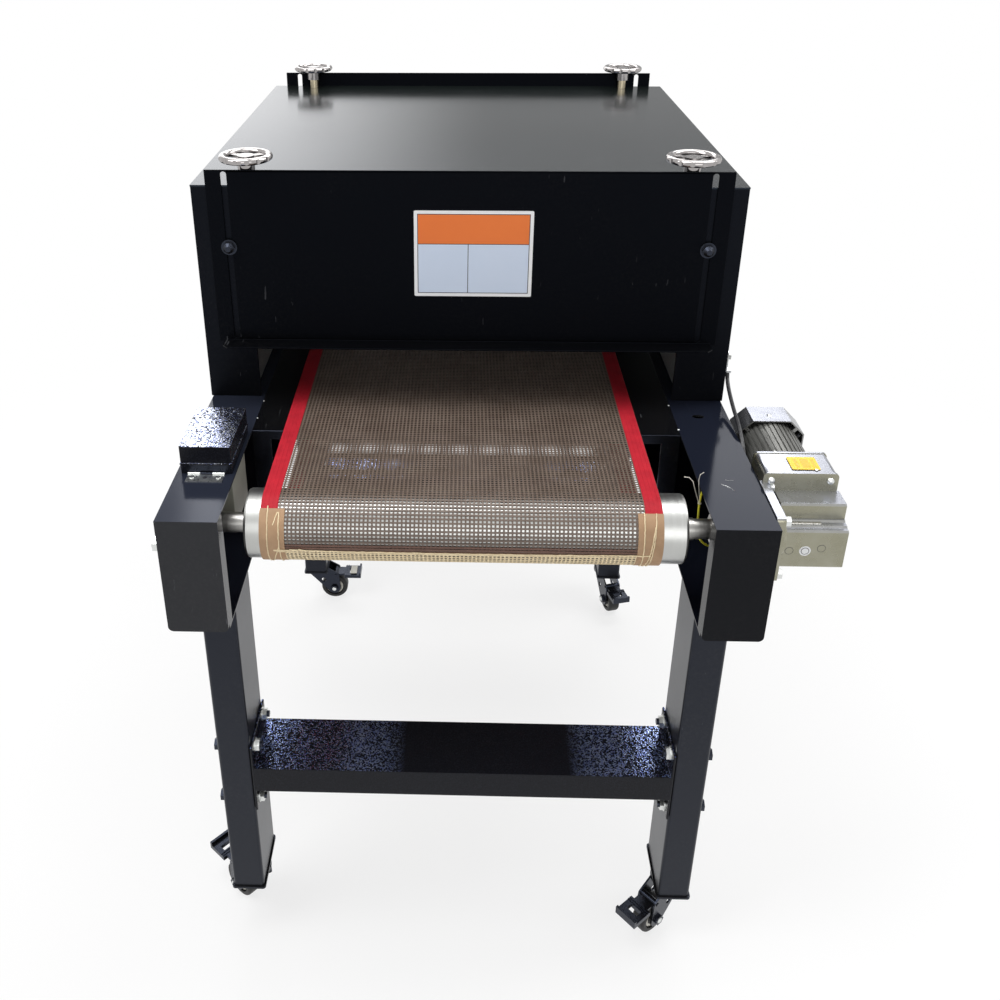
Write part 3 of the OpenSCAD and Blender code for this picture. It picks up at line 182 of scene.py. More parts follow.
def makeWorld():
    world = bpy.data.worlds.new("studio")
    scene.world = world
    world.use_nodes = True
    tree = world.node_tree
    tree.nodes.clear()
    plain = mixShader(tree, whiteRays(tree), background(tree, studio["sky"]), background(tree, 1))
    # what shiny surfaces mirror low behind the machine is dim on the right and bright on the left
    split = tree.nodes.new("ShaderNodeSeparateXYZ")
    link(tree, tree.nodes.new("ShaderNodeTexCoord").outputs["Generated"], split.inputs[0])
    glow = ramp(tree, split.outputs["X"], *studio["aside"], *studio["asideGlow"], smooth=True)
    behind = ramp(tree, split.outputs["Y"], *studio["behind"], smooth=True)
    shiny = tree.nodes.new("ShaderNodeLightPath").outputs["Is Glossy Ray"]
    mirrored = mathNode(tree, "MULTIPLY", shiny, behind)
    out = tree.nodes.new("ShaderNodeOutputWorld")
    link(tree, mixShader(tree, mirrored, plain, background(tree, glow)), out.inputs[0])


def makeFloor():
    mat = bpy.data.materials.new("paleFloor")
    mat.use_nodes = True
    tree = mat.node_tree
    tree.nodes.clear()
    matt, glow = tree.nodes.new("ShaderNodeBsdfDiffuse"), tree.nodes.new("ShaderNodeEmission")
    matt.inputs["Color"].default_value = (studio["floorColor"],) * 3 + (1,)
    glow.inputs["Color"].default_value = (1, 1, 1, 1)
    # the shadow stays near the machine, and the floor turns white away from it
    reach = tree.nodes.new("ShaderNodeVectorMath")
    reach.operation = "LENGTH"
    link(tree, tree.nodes.new("ShaderNodeTexCoord").outputs["Object"], reach.inputs[0])
    pale = ramp(tree, reach.outputs["Value"], *studio["shadowFade"], 1 - studio["shadowKept"], 1)
    share = mathNode(tree, "MULTIPLY", whiteRays(tree), pale)
    out = tree.nodes.new("ShaderNodeOutputMaterial")
    link(tree, mixShader(tree, share, matt.outputs[0], glow.outputs[0]), out.inputs[0])
    mesh = bpy.data.meshes.new("floor")
    r = studio["floorReach"]
    mesh.from_pydata([(-r, -r, 0), (r, -r, 0), (r, r, 0), (-r, r, 0)], [], [(0, 1, 2, 3)])
    obj = bpy.data.objects.new("floor", mesh)
    mesh.materials.append(mat)
    scene.collection.objects.link(obj)


makeLamps()
makeWorld()
makeFloor()
scene.view_settings.view_transform = "Standard"
print("camera, light and floor made")


# shared effects
def newGroup(name, ins, outs):
    group = bpy.data.node_groups.new(name, "ShaderNodeTree")
    for label, kind, value in ins:
        socket = group.interface.new_socket(label, in_out="INPUT", socket_type=kind)
        socket.default_value = value
    for label, kind in outs:
        group.interface.new_socket(label, in_out="OUTPUT", socket_type=kind)
    return group, group.nodes.new("NodeGroupInput"), group.nodes.new("NodeGroupOutput")


coatLook = dict(peel=(3.0, 0.6), cloud=(5.0, 4.0, 0.6), cloudSeen=(0.3, 0.75), cloudTone=(0.5, 0.5, 0.5),
                cloudShare=0.3, fine=(260.0, 3.0, 0.7), dustSeen=(0.45, 0.8), dustIn=(0.35, 0.75),
                dustTone=(0.3, 0.29, 0.27), streak=(3.0, 2.0, 0.4), streakStretch=(90, 7, 18),
                scratchSeen=(0.735, 0.75), scratchIn=(0.5, 0.62), scratchTone=(0.32, 0.33, 0.36),
                roughSpread=0.12, tint=(0.6, 0.7, 1.0, 1), bumpDepth=0.0004)


def makeCoatGroup(c):
    # powder coat: fine orange peel, cloudy tone, dust and a few light scratches
    group, a, b = newGroup("powderCoat", [
        ("Tone", "NodeSocketColor", (0.01, 0.01, 0.012, 1)), ("Dust", "NodeSocketFloat", 0.06),
        ("Grain", "NodeSocketFloat", 900.0), ("Scratches", "NodeSocketFloat", 0.2),
        ("Roughness", "NodeSocketFloat", 0.45)],
        [("Color", "NodeSocketColor"), ("Roughness", "NodeSocketFloat"), ("Height", "NodeSocketFloat")])
    where = coords(group)
    cloud, fine = noise(group, where, *c["cloud"]), noise(group, where, *c["fine"])
    dusty = mathNode(group, "MULTIPLY", ramp(group, fine, *c["dustSeen"]), ramp(group, cloud, *c["dustIn"]))
    dusty = mathNode(group, "MULTIPLY", dusty, a.outputs["Dust"], True)
    streak = noise(group, coords(group, c["streakStretch"]), *c["streak"])
    streaks, places = ramp(group, streak, *c["scratchSeen"]), ramp(group, cloud, *c["scratchIn"])
    scratch = mathNode(group, "MULTIPLY", streaks, places)
    scratch = mathNode(group, "MULTIPLY", scratch, a.outputs["Scratches"], True)
    cloudy = ramp(group, cloud, *c["cloudSeen"])
    shade = mixColor(group, cloudy, a.outputs["Tone"], c["cloudTone"], "MULTIPLY")
    shade = mixColor(group, c["cloudShare"], a.outputs["Tone"], shade)
    tone = mixColor(group, dusty, shade, c["dustTone"])
    tone = mixColor(group, scratch, tone, c["scratchTone"])
    link(group, tone, b.inputs["Color"])
    spread = mathNode(group, "MULTIPLY", cloud, c["roughSpread"])
    rough = mathNode(group, "ADD", a.outputs["Roughness"], spread)
    link(group, mathNode(group, "SUBTRACT", rough, c["roughSpread"] / 2), b.inputs["Roughness"])
    link(group, noise(group, where, a.outputs["Grain"], *c["peel"]), b.inputs["Height"])
    return group


metalLook = dict(grain=(3.0, 0.6), cloud=(22.0, 4.0, 0.62), stainSeen=(0.4, 0.75), paleSeen=(0.3, 0.8),
                 paleShare=0.1, paleTone=(0.9, 0.9, 0.9), roughSeen=(0.3, 0.75), roughSpread=0.14,
                 bumpDepth=0.0003)


def makeMetalGroup(c):
    # machined or cast metal: streaks along one direction, stains and fine pits
    group, a, b = newGroup("metalSkin", [
        ("Tone", "NodeSocketColor", (0.6, 0.6, 0.6, 1)), ("Stain", "NodeSocketColor", (0.3, 0.29, 0.26, 1)),
        ("Stained", "NodeSocketFloat", 0.25), ("Grain", "NodeSocketFloat", 300.0),
        ("Roughness", "NodeSocketFloat", 0.3), ("Stretch", "NodeSocketVector", (1, 1, 1))],
        [("Color", "NodeSocketColor"), ("Roughness", "NodeSocketFloat"), ("Height", "NodeSocketFloat")])
    mapping = group.nodes.new("ShaderNodeMapping")
    link(group, group.nodes.new("ShaderNodeTexCoord").outputs["Object"], mapping.inputs["Vector"])
    link(group, a.outputs["Stretch"], mapping.inputs["Scale"])
    grain = noise(group, mapping.outputs[0], a.outputs["Grain"], *c["grain"])
    cloud = noise(group, coords(group), *c["cloud"])
    stain = mathNode(group, "MULTIPLY", ramp(group, cloud, *c["stainSeen"]), a.outputs["Stained"], True)
    tone = mixColor(group, stain, a.outputs["Tone"], a.outputs["Stain"])
    pale = mathNode(group, "MULTIPLY", ramp(group, grain, *c["paleSeen"]), c["paleShare"])
    link(group, mixColor(group, pale, tone, c["paleTone"]), b.inputs["Color"])
    spread = mathNode(group, "MULTIPLY", ramp(group, grain, *c["roughSeen"]), c["roughSpread"])
    link(group, mathNode(group, "ADD", a.outputs["Roughness"], spread), b.inputs["Roughness"])
    link(group, grain, b.inputs["Height"])
    return group


coatGroup, metalGroup = makeCoatGroup(coatLook), makeMetalGroup(metalLook)


def newMaterial(name, specular=0.5, metallic=0.0, rough=0.5):
    mat = bpy.data.materials.new(name)
    mat.use_nodes = True
    shader = mat.node_tree.nodes["Principled BSDF"]
    shader.inputs["Specular IOR Level"].default_value = specular
    shader.inputs["Metallic"].default_value = metallic
    shader.inputs["Roughness"].default_value = rough
    return mat, mat.node_tree, shader


def addBump(tree, shader, height, strength, distance):
    bump = tree.nodes.new("ShaderNodeBump")
    bump.inputs["Strength"].default_value = strength
    bump.inputs["Distance"].default_value = distance
    link(tree, height, bump.inputs["Height"])
    link(tree, bump.outputs[0], shader.inputs["Normal"])


def useGroup(tree, group, values):
    node = tree.nodes.new("ShaderNodeGroup")
    node.node_tree = group
    for key, v in values.items():
        node.inputs[key].default_value = v + (1,) if key in ("Tone", "Stain") else v
    return node


def facingUp(tree, low, high):
    split = tree.nodes.new("ShaderNodeSeparateXYZ")
    link(tree, tree.nodes.new("ShaderNodeTexCoord").outputs["Normal"], split.inputs[0])
    return ramp(tree, split.outputs[2], low, high)


# how far a face must look up before the painted sky reflection comes in
skyReflectionFacing = (0.5, 0.9)


def dress(tree, shader, skin, paintedSkyReflection, bump, depth):
    # joins a shared effect to its shader; paintedSkyReflection is a bluer tone painted on faces that look
    # up, a painted reflection of the sky
    shade = skin.outputs["Color"]
    if paintedSkyReflection:
        shade = mixColor(tree, facingUp(tree, *skyReflectionFacing), shade, paintedSkyReflection)
    link(tree, shade, shader.inputs["Base Color"])
    link(tree, skin.outputs["Roughness"], shader.inputs["Roughness"])
    addBump(tree, shader, skin.outputs["Height"], bump, depth)


def coatMaterial(name, tone, rough=0.45, specular=0.5, dust=0.06, scratches=0.2, grain=900.0, bump=0.15,
                 paintedSkyReflection=None):
    mat, tree, shader = newMaterial(name, specular)
    shader.inputs["Specular Tint"].default_value = coatLook["tint"]
    skin = useGroup(tree, coatGroup, dict(Tone=tone, Dust=dust, Grain=grain, Scratches=scratches,
                                          Roughness=rough))
    dress(tree, shader, skin, paintedSkyReflection, bump, coatLook["bumpDepth"])
    return mat


def metalMaterial(name, tone, rough=0.3, metallic=1.0, stretch=(1, 1, 1), grain=300.0, stained=0.25,
                  stain=(0.3, 0.29, 0.26), bump=0.1, paintedSkyReflection=None):
    mat, tree, shader = newMaterial(name, 0.5, metallic)
    skin = useGroup(tree, metalGroup, dict(Tone=tone, Stain=stain, Stained=stained, Grain=grain,
                                           Roughness=rough, Stretch=stretch))
    dress(tree, shader, skin, paintedSkyReflection, bump, metalLook["bumpDepth"])
    return mat


hammerLook = dict(specular=0.12, rough=0.22, patch=(14.0, 2.0, 0.5), patchMiddle=0.5, patchShare=0.25,
                  edge=(0.98, 1.02), glintDimmer=(0.4, 0.46, 0.85), glintFacingUp=(0.6, 0.95), endsFade=0.09,
                  beadSeen=(0.0, 0.9), beadTone=(0.004, 0.0042, 0.006), gapTone=(0.012, 0.013, 0.018),
                  bump=0.3, bumpDepth=0.0006)


def hammerMaterial(name, pale, cover, cell, endsFrom=0.0):
    # hammer finish: glossy beads, with pale specks painted on as highlights where the beads catch the light,
    # on upper faces most of all
    c = hammerLook
    mat, tree, shader = newMaterial(name, c["specular"], 0.0, c["rough"])
    where = coords(tree)
    cells = tree.nodes.new("ShaderNodeTexVoronoi")
    link(tree, where, cells.inputs["Vector"])
    cells.inputs["Scale"].default_value = cell
    chance = tree.nodes.new("ShaderNodeSeparateColor")
    link(tree, cells.outputs["Color"], chance.inputs[0])
    patch = mathNode(tree, "SUBTRACT", noise(tree, where, *c["patch"]), c["patchMiddle"])
    paintedGlintMask = mathNode(tree, "ADD", chance.outputs[0], mathNode(tree, "MULTIPLY", patch, c["patchShare"]))
    paintedGlintMask = ramp(tree, paintedGlintMask, *(v - cover for v in c["edge"]))
    paintedGlintMask = mathNode(tree, "MULTIPLY", paintedGlintMask, facingUp(tree, *c["glintFacingUp"]))
    if endsFrom:
        # the painted highlight specks keep to both ends of a long face and stay out of its middle
        reach = tree.nodes.new("ShaderNodeSeparateXYZ")
        link(tree, where, reach.inputs[0])
        ends = mathNode(tree, "ABSOLUTE", reach.outputs[0])
        paintedGlintMask = mathNode(tree, "MULTIPLY", paintedGlintMask, ramp(tree, ends, endsFrom, endsFrom + c["endsFade"]))
    # the painted highlight colour, pale or a little dimmer at random
    paintedGlintColour = mixColor(tree, chance.outputs[1], pale, tuple(a * b for a, b in zip(pale, c["glintDimmer"])))
    gap = ramp(tree, cells.outputs["Distance"], *c["beadSeen"])
    bead = mixColor(tree, gap, c["beadTone"], c["gapTone"])
    link(tree, mixColor(tree, paintedGlintMask, bead, paintedGlintColour), shader.inputs["Base Color"])
    link(tree, paintedGlintMask, shader.inputs["Metallic"])
    addBump(tree, shader, cells.outputs["Distance"], c["bump"], c["bumpDepth"])
    return mat


paint = dict(
    panel=coatMaterial("panelBlack", (0.0018, 0.002, 0.0026), 0.4, 0.05, 0.015, 0.1),
    shell=coatMaterial("shellBlack", (0.0028, 0.003, 0.0036), 0.4, 0.1, 0.02, 0.15),
    top=coatMaterial("topPlateBlack", (0.007, 0.0095, 0.0085), 0.15, 0.42, 0.05, 0.1, bump=0.06),
    # the arms get a bluer painted sky reflection on their upper faces
    arm=coatMaterial("armBlack", (0.012, 0.012, 0.0125), 0.1, 0.06, 0.04, 0.3, bump=0.05,
                     paintedSkyReflection=(0.009, 0.011, 0.019)),
    # the left arm: a lighter copy of the arm black, painted light
    armLeftLit=coatMaterial("armLeftLitBlack", (0.036, 0.036, 0.037), 0.1, 0.1, 0.05, 0.2, bump=0.05,
                         paintedSkyReflection=(0.016, 0.019, 0.03)),
    leg=coatMaterial("legBlack", (0.0105, 0.0105, 0.0112), 0.3, 0.3, 0.05, 0.15),
    deck=coatMaterial("deckBlack", (0.003, 0.003, 0.0036), 0.2, 0.4, 0.03, 0.1),
    lacquer=coatMaterial("casterLacquer", (0.006, 0.006, 0.007), 0.25, 0.5, 0.03, 0.05, 500.0),
    fastener=coatMaterial("blackOxide", (0.008, 0.008, 0.008), 0.35, 0.5, 0.03, 0.0, 700.0),
    bearing=coatMaterial("bearingPaint", (0.05, 0.055, 0.06), 0.5, 0.5, 0.15, 0.1, 500.0),
)
# pale is the colour of the painted highlight specks; the bar's specks keep to its ends
barHammer = hammerMaterial("barHammer", (0.55, 0.66, 0.9), 0.45, 700.0, 0.1)
lidHammer = hammerMaterial("lidHammer", (0.9, 0.94, 1.0), 0.6, 650.0)
metal = dict(
    zinc=metalMaterial("brightZinc", (0.72, 0.74, 0.73), 0.25, 1.0, stained=0.3, stain=(0.45, 0.42, 0.36)),
    chrome=metalMaterial("polishedChrome", (0.36, 0.34, 0.335), 0.07, 1.0, stained=0.2,
                         stain=(0.12, 0.115, 0.11), bump=0.02),
    roller=metalMaterial("turnedRoller", (0.47, 0.475, 0.46), 0.27, 1.0, (900, 3, 3), 1.0, 0.2, bump=0.06),
    shaft=metalMaterial("shaftSteel", (0.45, 0.44, 0.42), 0.28, 1.0, (1800, 4, 4), 1.0, 0.4, bump=0.2),
    # the gearbox casting and the fan cover get a bluer painted sky reflection on their upper faces
    gearbox=metalMaterial("gearboxCasting", (0.29, 0.28, 0.205), 0.22, 0.9, grain=45.0, stained=0.12,
                          stain=(0.17, 0.165, 0.13), bump=0.02, paintedSkyReflection=(0.34, 0.35, 0.39)),
    motor=metalMaterial("motorCasting", (0.12, 0.12, 0.11), 0.34, 0.6, (1, 0.05, 1), 700.0, 0.25,
                        (0.05, 0.05, 0.046), 0.2),
    cover=metalMaterial("fanCoverPaint", (0.25, 0.25, 0.245), 0.2, 0.9, grain=60.0, stained=0.15,
                        stain=(0.16, 0.16, 0.15), bump=0.04, paintedSkyReflection=(0.3, 0.31, 0.35)),
    sheet=metalMaterial("millSheet", (0.36, 0.37, 0.36), 0.4, 0.9, (6, 200, 6), 1.0, 0.35),
    brass=metalMaterial("turnedBrass", (0.72, 0.62, 0.42), 0.25, 1.0, (4, 4, 1600), 1.0, 0.2),
)


plainLook = dict(cloud=(4.0, 0.6), cloudSeen=(0.3, 0.75), fineTimes=12, fine=(2.0, 0.6), bumpDepth=0.0003)


def plainMaterial(name, tone, other, rough, scale=60.0, specular=0.5, bump=0.1, share=0.5):
    c = plainLook
    mat, tree, shader = newMaterial(name, specular, 0.0, rough)
    where = coords(tree)
    cloud = noise(tree, where, scale, *c["cloud"])
    fine = noise(tree, where, scale * c["fineTimes"], *c["fine"])
    mixed = mathNode(tree, "MULTIPLY", ramp(tree, cloud, *c["cloudSeen"]), share)
    link(tree, mixColor(tree, mixed, tone, other), shader.inputs["Base Color"])
    addBump(tree, shader, fine, bump, c["bumpDepth"])
    return mat


soft = dict(
    strand=plainMaterial("beltStrand", (0.105, 0.075, 0.058), (0.17, 0.13, 0.105), 0.42, 35.0, 0.5, 0.3,
                         0.8),
    strandDark=plainMaterial("beltStrandSeam", (0.1, 0.045, 0.03), (0.2, 0.1, 0.07), 0.5, 90.0),
    red=plainMaterial("edgeBand", (0.46, 0.015, 0.028), (0.3, 0.008, 0.018), 0.6, 60.0, 0.2, 0.35, 0.8),
    tan=plainMaterial("splicePatch", (0.42, 0.27, 0.16), (0.3, 0.185, 0.105), 0.6, 45.0, 0.3, 0.2, 0.8),
    cream=plainMaterial("creamThread", (0.82, 0.69, 0.46), (0.6, 0.48, 0.3), 0.6, 120.0, 0.3, 0.2, 0.8),
    rubber=plainMaterial("casterTyre", (0.006, 0.006, 0.006), (0.02, 0.019, 0.018), 0.5, 90.0, 0.4, 0.2),
    hubCream=plainMaterial("hubRing", (0.72, 0.7, 0.62), (0.5, 0.48, 0.42), 0.45, 120.0),
    jacket=plainMaterial("cableJacket", (0.012, 0.012, 0.014), (0.03, 0.03, 0.034), 0.42, 90.0),
    yellow=plainMaterial("wireYellow", (0.62, 0.56, 0.03), (0.5, 0.44, 0.02), 0.4, 120.0),
    boxGrey=plainMaterial("wiringBoxGrey", (0.2, 0.2, 0.165), (0.28, 0.28, 0.24), 0.55, 30.0),
    ceramic=plainMaterial("lampCeramic", (0.78, 0.75, 0.68), (0.66, 0.62, 0.54), 0.6, 90.0),
    paperWhite=plainMaterial("labelWhite", (0.86, 0.87, 0.88), (0.8, 0.81, 0.83), 0.35, 20.0, 0.4, 0.02),
    paperBlue=plainMaterial("labelField", (0.6, 0.69, 0.84), (0.64, 0.72, 0.86), 0.35, 20.0, 0.4, 0.02),
    paperOrange=plainMaterial("labelOrange", (0.83, 0.19, 0.03), (0.76, 0.16, 0.025), 0.35, 20.0, 0.4,
                              0.02),
    paperGold=plainMaterial("labelGold", (0.55, 0.36, 0.02), (0.72, 0.5, 0.03), 0.35, 60.0, 0.4, 0.02),
    paperYellow=plainMaterial("labelYellow", (0.83, 0.55, 0.02), (0.7, 0.4, 0.02), 0.35, 60.0, 0.4, 0.02),
    ink=plainMaterial("labelInk", (0.02, 0.02, 0.025), (0.05, 0.05, 0.055), 0.4, 60.0),
)


quartz = dict(rough=0.06, cloud=(60.0, 3.0, 0.6), cloudSeen=(0.3, 0.8), tone=(0.95, 0.93, 0.9),
              other=(0.88, 0.82, 0.76), clear=0.85)


def quartzMaterial(c):
    mat, tree, shader = newMaterial("quartzTube", 0.5, 0.0, c["rough"])
    cloud = noise(tree, coords(tree), *c["cloud"])
    mixed = mixColor(tree, ramp(tree, cloud, *c["cloudSeen"]), c["tone"], c["other"])
    link(tree, mixed, shader.inputs["Base Color"])
    shader.inputs["Transmission Weight"].default_value = c["clear"]
    return mat


# each node takes the entry with the longest name that its own name starts with
finish = {
    "arm_": paint["arm"], "arm_left": paint["armLeftLit"], "leg_": paint["leg"],
    "leg_bolts": paint["fastener"], "leg_nuts": metal["zinc"], "crossbar": barHammer,
    "deck_plate": paint["deck"], "housing_shell": paint["shell"], "top_plate": paint["top"],
    "tunnel_liner": metal["sheet"], "drive_bearing": paint["bearing"], "idler_bearings": paint["bearing"],
    "bearing_bolts": metal["zinc"], "tension_bolts": metal["zinc"], "gear_case": metal["gearbox"],
    "gearbox_bolts": metal["zinc"], "motor_body": metal["motor"], "fan_cover": metal["cover"],
    "motor_lead": soft["jacket"], "lead_clip": metal["zinc"], "caster_heads": paint["lacquer"],
    "panel_studs": metal["zinc"], "cap_nuts": paint["fastener"], "screw_collars": metal["brass"],
    "earth_wire": soft["yellow"], "wiring_box": soft["boxGrey"], "hinge_leaf": metal["zinc"],
    "belt": soft["strand"], "front_panel": paint["panel"], "rear_panel": paint["panel"],
    "cover_base": paint["lacquer"], "cover_lid": lidHammer, "drive_roller": metal["roller"],
    "drive_shaft": metal["shaft"], "idler_roller": metal["roller"], "idler_shaft": metal["shaft"],
    "motor_fan": metal["sheet"], "lamp_tray": metal["sheet"], "lamp_tubes": quartzMaterial(quartz),
    "lamp_holders": soft["ceramic"], "handwheel": metal["chrome"], "caster_fork": paint["lacquer"],
    "caster_wheel": soft["rubber"], "caster_pedal": paint["lacquer"],
}
for name, obj in nodes.items():
    key = max((k for k in finish if name.startswith(k)), key=len)
    obj.data.materials.clear()
    obj.data.materials.append(finish[key])
print("materials made for", len(nodes), "nodes")

# rounded edges on folded sheet and tube, so that they catch the light
folded = dict(arm_left=1.6, arm_right=1.6, front_panel=1.0, rear_panel=1.0, housing_shell=1.2,
              crossbar_front=1.4, crossbar_rear=1.4, cover_lid=0.7, cover_base=0.5, deck_plate=0.9,
              lamp_tray=0.8, gear_case=1.0, wiring_box=1.0)
rounding = dict(weld=0.00001, segments=2, angle=40)
for name, width in folded.items():
    weld = nodes[name].modifiers.new("joined", "WELD")
    weld.merge_threshold = rounding["weld"]
    edge = nodes[name].modifiers.new("rounded", "BEVEL")
    edge.width, edge.segments, edge.limit_method = width * mm, rounding["segments"], "ANGLE"
    edge.angle_limit = math.radians(rounding["angle"])
    edge.use_clamp_overlap = True
    edge.harden_normals = False


def smoothed(mesh, angle):
    mesh.shade_smooth()
    mesh.set_sharp_from_angle(angle=math.radians(angle))


def outward(bm):
    bmesh.ops.recalc_face_normals(bm, faces=bm.faces)


def newPiece(name, bm, material, body, smooth=None):
    mesh = bpy.data.meshes.new(name)
    bm.to_mesh(mesh)
    bm.free()
    obj = bpy.data.objects.new(name, mesh)
    scene.collection.objects.link(obj)
    for mat in material if isinstance(material, list) else [material]:
        mesh.materials.append(mat)
    if smooth:
        smoothed(mesh, smooth)
    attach(obj, body)
    return obj


# the belt loop and what is sewn on it: millimetres, and degrees round the front roller
belt = dict(left=-217.7, right=208.4, driveY=-231.0, idlerY=653.0, axisZ=634.0, inner=38.45, pitch=4.5,
            strand=(1.9, 0.42), cross=(2.0, 0.42), crossInset=3, arcSteps=22, crossArcSteps=60)
bands = dict(wide=18.4, thick=0.95, sunk=0.05, arcSteps=30, ribs=4, ribHalf=1.25, ribHigh=0.32)
patches = dict(wide=26.3, start=34.0, end=212.0, lift=0.3, over=0.6, thick=0.35)


def loopPoints(r, steps):
    # the loop's points in order: front roller from bottom to top, then the rear roller from top to bottom
    points = []
    for i in range(steps + 1):
        a = math.pi * (1 - i / steps)
        points.append((belt["driveY"] - r * math.sin(a), belt["axisZ"] + r * math.cos(a)))
    for i in range(steps + 1):
        a = math.pi * i / steps
        points.append((belt["idlerY"] + r * math.sin(a), belt["axisZ"] + r * math.cos(a)))
    return points


def onDrive(angle, r):
    # a point on the drive roller: 0 is the top, 90 the front, 180 the bottom, past that along the lower run
    if angle <= 180:
        a = math.radians(angle)
        return belt["driveY"] - r * math.sin(a), belt["axisZ"] + r * math.cos(a)
    return belt["driveY"] + (angle - 180), belt["axisZ"] - r


def ribbon(bm, x0, x1, path, thick, closed):
    # a band of given width along a path of (y, z), with its thickness outwards
    rows = []
    count = len(path)
    for i, (y, z) in enumerate(path):
        ahead = path[(i + 1) % count] if closed or i < count - 1 else path[i]
        back = path[i - 1] if closed or i > 0 else path[i]
        ty, tz = ahead[0] - back[0], ahead[1] - back[1]
        size = math.hypot(ty, tz)
        ny, nz = -tz / size, ty / size
        rows.append([bm.verts.new(place(x, y + ny * t, z + nz * t))
                     for x, t in ((x0, 0), (x1, 0), (x1, thick), (x0, thick))])
    for i in range(count if closed else count - 1):
        a, b = rows[i], rows[(i + 1) % count]
        for k in range(4):
            bm.faces.new((a[k], a[(k + 1) % 4], b[(k + 1) % 4], b[k]))
    if not closed:
        bm.faces.new(rows[0][::-1])
        bm.faces.new(rows[-1])


def newTree(name, sizes):
    tree = bpy.data.node_groups.new(name, "GeometryNodeTree")
    tree.interface.new_socket("Geometry", in_out="INPUT", socket_type="NodeSocketGeometry")
    keys = {}
    for label, kind in sizes:
        keys[label] = tree.interface.new_socket(label, in_out="INPUT", socket_type=kind).identifier
    tree.interface.new_socket("Geometry", in_out="OUTPUT", socket_type="NodeSocketGeometry")
    return tree, tree.nodes.new("NodeGroupInput"), tree.nodes.new("NodeGroupOutput"), keys


def finishTree(tree, shape, material, out):
    real = tree.nodes.new("GeometryNodeRealizeInstances")
    paintIt = tree.nodes.new("GeometryNodeSetMaterial")
    link(tree, shape, real.inputs[0])
    link(tree, real.outputs[0], paintIt.inputs["Geometry"])
    link(tree, material, paintIt.inputs["Material"])
    link(tree, paintIt.outputs[0], out.inputs[0])


def rowTree():
    # repeats the given piece at even steps
    tree, a, out, keys = newTree("repeatInRow", [("Count", "NodeSocketInt"), ("Step", "NodeSocketVector"),
                                                 ("Material", "NodeSocketMaterial")])
    row, copies = tree.nodes.new("GeometryNodeMeshLine"), tree.nodes.new("GeometryNodeInstanceOnPoints")
    link(tree, a.outputs["Count"], row.inputs["Count"])
    link(tree, a.outputs["Step"], row.inputs["Offset"])
    link(tree, row.outputs[0], copies.inputs["Points"])
    link(tree, a.outputs["Geometry"], copies.inputs["Instance"])
    finishTree(tree, copies.outputs[0], a.outputs["Material"], out)
    return tree, keys


def pathTree():
    # sets a bar of a given size at even steps along a path, with its Y side along the path
    tree, a, out, keys = newTree("barsAlongPath", [("Count", "NodeSocketInt"), ("Size", "NodeSocketVector"),
                                                   ("Material", "NodeSocketMaterial")])
    curve, steps = tree.nodes.new("GeometryNodeMeshToCurve"), tree.nodes.new("GeometryNodeResampleCurve")
    steps.mode = "COUNT"
    bar, copies = tree.nodes.new("GeometryNodeMeshCube"), tree.nodes.new("GeometryNodeInstanceOnPoints")
    tangent = tree.nodes.new("GeometryNodeInputTangent")
    turn = tree.nodes.new("FunctionNodeAlignRotationToVector")
    turn.axis, turn.pivot_axis = "Y", "AUTO"
    link(tree, a.outputs["Geometry"], curve.inputs[0])
    link(tree, curve.outputs[0], steps.inputs["Curve"])
    link(tree, a.outputs["Count"], steps.inputs["Count"])
    link(tree, a.outputs["Size"], bar.inputs["Size"])
    link(tree, tangent.outputs[0], turn.inputs["Vector"])
    link(tree, steps.outputs[0], copies.inputs["Points"])
    link(tree, bar.outputs[0], copies.inputs["Instance"])
    link(tree, turn.outputs[0], copies.inputs["Rotation"])
    finishTree(tree, copies.outputs[0], a.outputs["Material"], out)
    return tree, keys


repeatRow, barsOnPath = rowTree(), pathTree()


def grow(name, bm, treeAndKeys, values, body, smooth=None):
    # runs a tree on a mesh and keeps the result as a plain piece
    mesh = bpy.data.meshes.new(name + "Seed")
    bm.to_mesh(mesh)
    bm.free()
    seed = bpy.data.objects.new(name + "Seed", mesh)
    scene.collection.objects.link(seed)
    modifier = seed.modifiers.new("grown", "NODES")
    tree, keys = treeAndKeys
    modifier.node_group = tree
    for label, value in values.items():
        modifier[keys[label]] = value
    result = bpy.data.meshes.new_from_object(seed.evaluated_get(bpy.context.evaluated_depsgraph_get()))
    result.name = name
    bpy.data.objects.remove(seed)
    obj = bpy.data.objects.new(name, result)
    scene.collection.objects.link(obj)
    if smooth:
        smoothed(result, smooth)
    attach(obj, body)
    return obj


def pathMesh(points, closed=False):
    bm = bmesh.new()
    verts = [bm.verts.new(p) for p in points]
    for a, b in zip(verts, verts[1:] + verts[:1] if closed else verts[1:]):
        bm.edges.new((a, b))
    return bm


